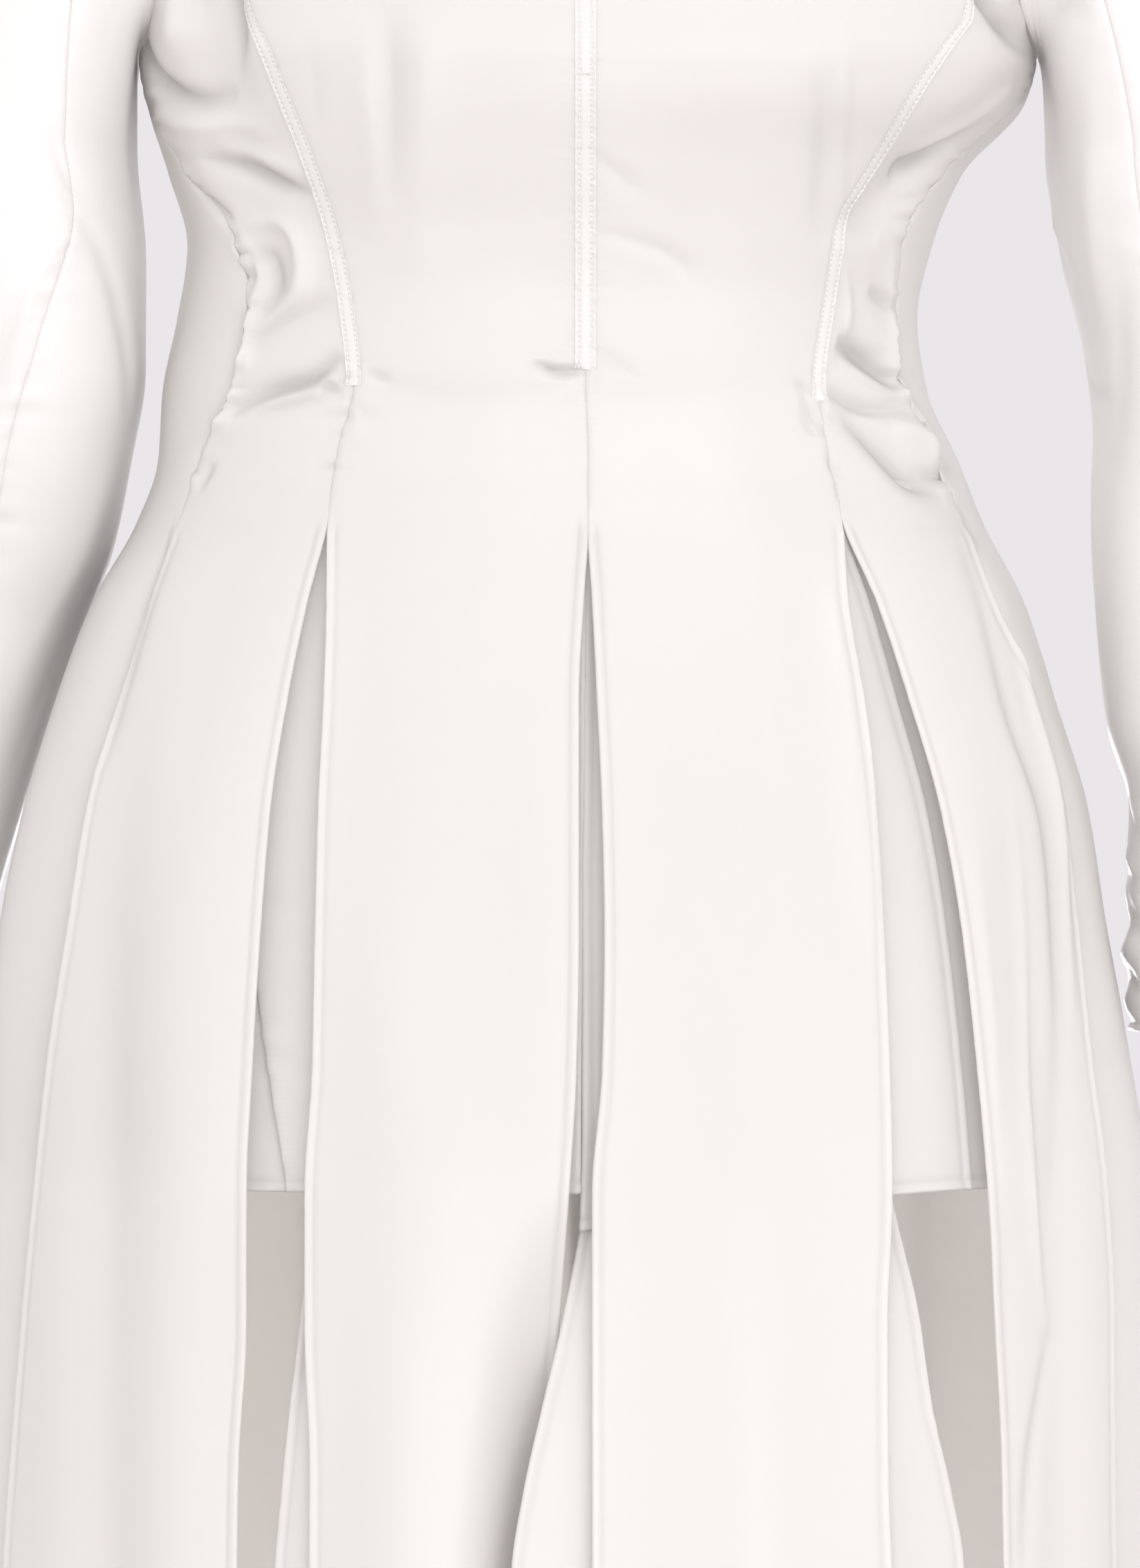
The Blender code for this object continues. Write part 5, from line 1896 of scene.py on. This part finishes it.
@dataclass(frozen=True)
class SoftBox:
    """A large soft light.

    Args:
        name: its name.
        place: where it is, in metres.
        aim: the point that it faces.
        size: its width and height.
        power: its strength in watts.
    """

    name: str
    place: tuple[float, float, float]
    aim: tuple[float, float, float]
    size: tuple[float, float]
    power: float

    def build(self) -> bpy.types.Object:
        """Sets the light up."""
        light = bpy.data.lights.new(self.name, "AREA")
        light.shape = "RECTANGLE"
        light.size, light.size_y = self.size
        light.energy = self.power
        made = bpy.data.objects.new(self.name, light)
        made.location = self.place
        made.rotation_euler = (Vector(self.aim) - Vector(self.place)).to_track_quat("-Z", "Y").to_euler()
        bpy.context.scene.collection.objects.link(made)
        return made


LIGHTS = (
    SoftBox("upper key", (0.7, -2.8, 1.6), (0.1, 0, -0.7), (2.4, 1.5), 21),
    SoftBox("low front", (0.6, -3.0, -1.1), (0.1, 0, -0.9), (3.4, 1.2), 35),
    SoftBox("back wash", (-0.1, 2.9, -1.1), (0, 0, -0.9), (1.0, 0.7), 44),
)
WORLD_LIGHT = (0.944, 0.929, 0.928)
WORLD_STRENGTH = 1.28
BACKGROUND = (0.823, 0.791, 0.815)
THROUGH = (0.965, 0.945, 0.92)
FLOOR_HEIGHT = -1.45
FLOOR_RADIUS = 6.0
FLOOR_COLOUR = (0.56, 0.54, 0.555)


class Studio:
    """The camera, the lights, the pale surroundings and the floor."""

    def build(self) -> None:
        """Sets everything up."""
        self.world()
        self.camera()
        for light in LIGHTS:
            light.build()
        self.floor()
        bpy.context.scene.view_settings.view_transform = "Standard"
        cycles = bpy.context.scene.cycles
        cycles.max_bounces, cycles.diffuse_bounces = 4, 3
        cycles.glossy_bounces, cycles.transmission_bounces = 2, 3

    @staticmethod
    def world() -> None:
        """A pale backdrop for the eye, and soft light from all round."""
        world = bpy.data.worlds.new("surroundings")
        world.use_nodes = True
        bpy.context.scene.world = world
        tree = world.node_tree
        tree.nodes.clear()
        path = tree.nodes.new("ShaderNodeLightPath")
        lit, seen = tree.nodes.new("ShaderNodeBackground"), tree.nodes.new("ShaderNodeBackground")
        lit.inputs["Color"].default_value = (*WORLD_LIGHT, 1)
        lit.inputs["Strength"].default_value = WORLD_STRENGTH
        seen.inputs["Color"].default_value = (*BACKGROUND, 1)
        mix, out = tree.nodes.new("ShaderNodeMixShader"), tree.nodes.new("ShaderNodeOutputWorld")
        tree.links.new(path.outputs["Is Camera Ray"], mix.inputs[0])
        tree.links.new(lit.outputs[0], mix.inputs[1])
        tree.links.new(seen.outputs[0], mix.inputs[2])
        tree.links.new(mix.outputs[0], out.inputs["Surface"])

    @staticmethod
    def camera() -> None:
        """The photograph's view: level, far away and square on."""
        eye = bpy.data.cameras.new("camera")
        eye.sensor_width = 36
        eye.lens = eye.sensor_width * EYE_DISTANCE / FRAME_HEIGHT
        eye.clip_end = 100
        made = bpy.data.objects.new("camera", eye)
        made.location = (EYE_X * MM, (FRONT_PLANE - EYE_DISTANCE) * MM, EYE_Z * MM)
        made.rotation_euler = (math.pi / 2, 0, 0)
        bpy.context.scene.collection.objects.link(made)
        bpy.context.scene.camera = made

    @staticmethod
    def floor() -> None:
        """A pale round floor, below what the photograph shows."""
        bpy.ops.object.select_all(action="DESELECT")
        bpy.ops.mesh.primitive_circle_add(vertices=96, radius=FLOOR_RADIUS, fill_type="NGON",
                                          location=(0, 0, FLOOR_HEIGHT))
        floor = bpy.context.object
        floor.name = "floor"
        paint = bpy.data.materials.new("pale floor")
        paint.use_nodes = True
        shader = paint.node_tree.nodes["Principled BSDF"]
        shader.inputs["Base Color"].default_value = (*FLOOR_COLOUR, 1)
        shader.inputs["Roughness"].default_value = 0.8
        floor.data.materials.append(paint)


TAPES = (
    ("centre_seam_tape", "centre_left", -80.0, -396.0, 8.4, 1.7),
    ("left_princess_tape", "left_in", -186.0, -402.0, 6.3, 1.0),
    ("right_princess_tape", "right_in", -186.0, -408.0, 6.3, 1.0),
)
SATIN = SatinFinish("ivory satin", (0.93, 0.902, 0.888), 0.34)
SLEEVE = SatinFinish("ivory satin of the sleeves", (0.94, 0.912, 0.898), 0.34, sheer=0.24)
TAPE = SatinFinish("satin tape", (0.965, 0.94, 0.925), 0.33, ripple=0.6, sheer=0.36)
THREAD = SatinFinish("thread", (0.96, 0.945, 0.93), 0.4, weave=0.0, ripple=0.0, sheer=0.2)
UNDERSKIRT = SatinFinish("ivory satin under layer", (0.925, 0.90, 0.885), 0.32)


def body_creases() -> tuple[Crease, ...]:
    """The creases of the bodice and the skirt."""
    made = []
    for row in FRONT_CREASES:
        crisp = row.width < CRISP_WIDTH or row.places[0][1] > SKIRT_CREASE_TOP
        gain, spread = CRISP_GAIN if crisp else SOFT_GAIN
        path = np.array([Form.seen(x, z) for x, z in row.places])
        made.append(Crease(path, spread * row.width, gain * row.depth, row.fade))
    for row in BACK_CREASES:
        path = np.array([Form.point(angle, z) for angle, z in row.places])
        made.append(Crease(path, row.width, row.depth, row.fade))
    return tuple(made)


def main() -> None:
    """Builds the dress and its surroundings."""
    logging.basicConfig(level=logging.INFO, format="%(name)s: %(message)s")
    for item in list(bpy.data.objects):
        if item.type in ("CAMERA", "LIGHT") or item.name == "Cube":
            bpy.data.objects.remove(item, do_unlink=True)
    surface = cloth_surface()
    satin, sleeve, tape, thread = (finish.material(surface) for finish in (SATIN, SLEEVE, TAPE, THREAD))
    under = UNDERSKIRT.material(surface)
    creases = body_creases()
    for piece in OuterPanels(creases).pieces():
        piece.build(satin)
    for arm in (
        SleevePieces(Side.LEFT, LEFT_SLEEVE, LEFT_SLEEVE_SEAM, LEFT_SLEEVE_CREASES),
        SleevePieces(Side.RIGHT, RIGHT_SLEEVE, RIGHT_SLEEVE_SEAM, RIGHT_SLEEVE_CREASES),
    ):
        for piece in arm.pieces():
            piece.build(sleeve)
    for piece in InnerLayers().pieces():
        piece.build(under)
    stitch = make_stitch()
    lifted = (BODY_DRIFT, *creases)
    for row in TAPES:
        seam = SeamTape(*row, lifted)
        seam.build(tape)
        seam.stitches(stitch, thread)
    bpy.data.objects.remove(stitch, do_unlink=True)
    Studio().build()


if __name__ == "__main__":
    main()
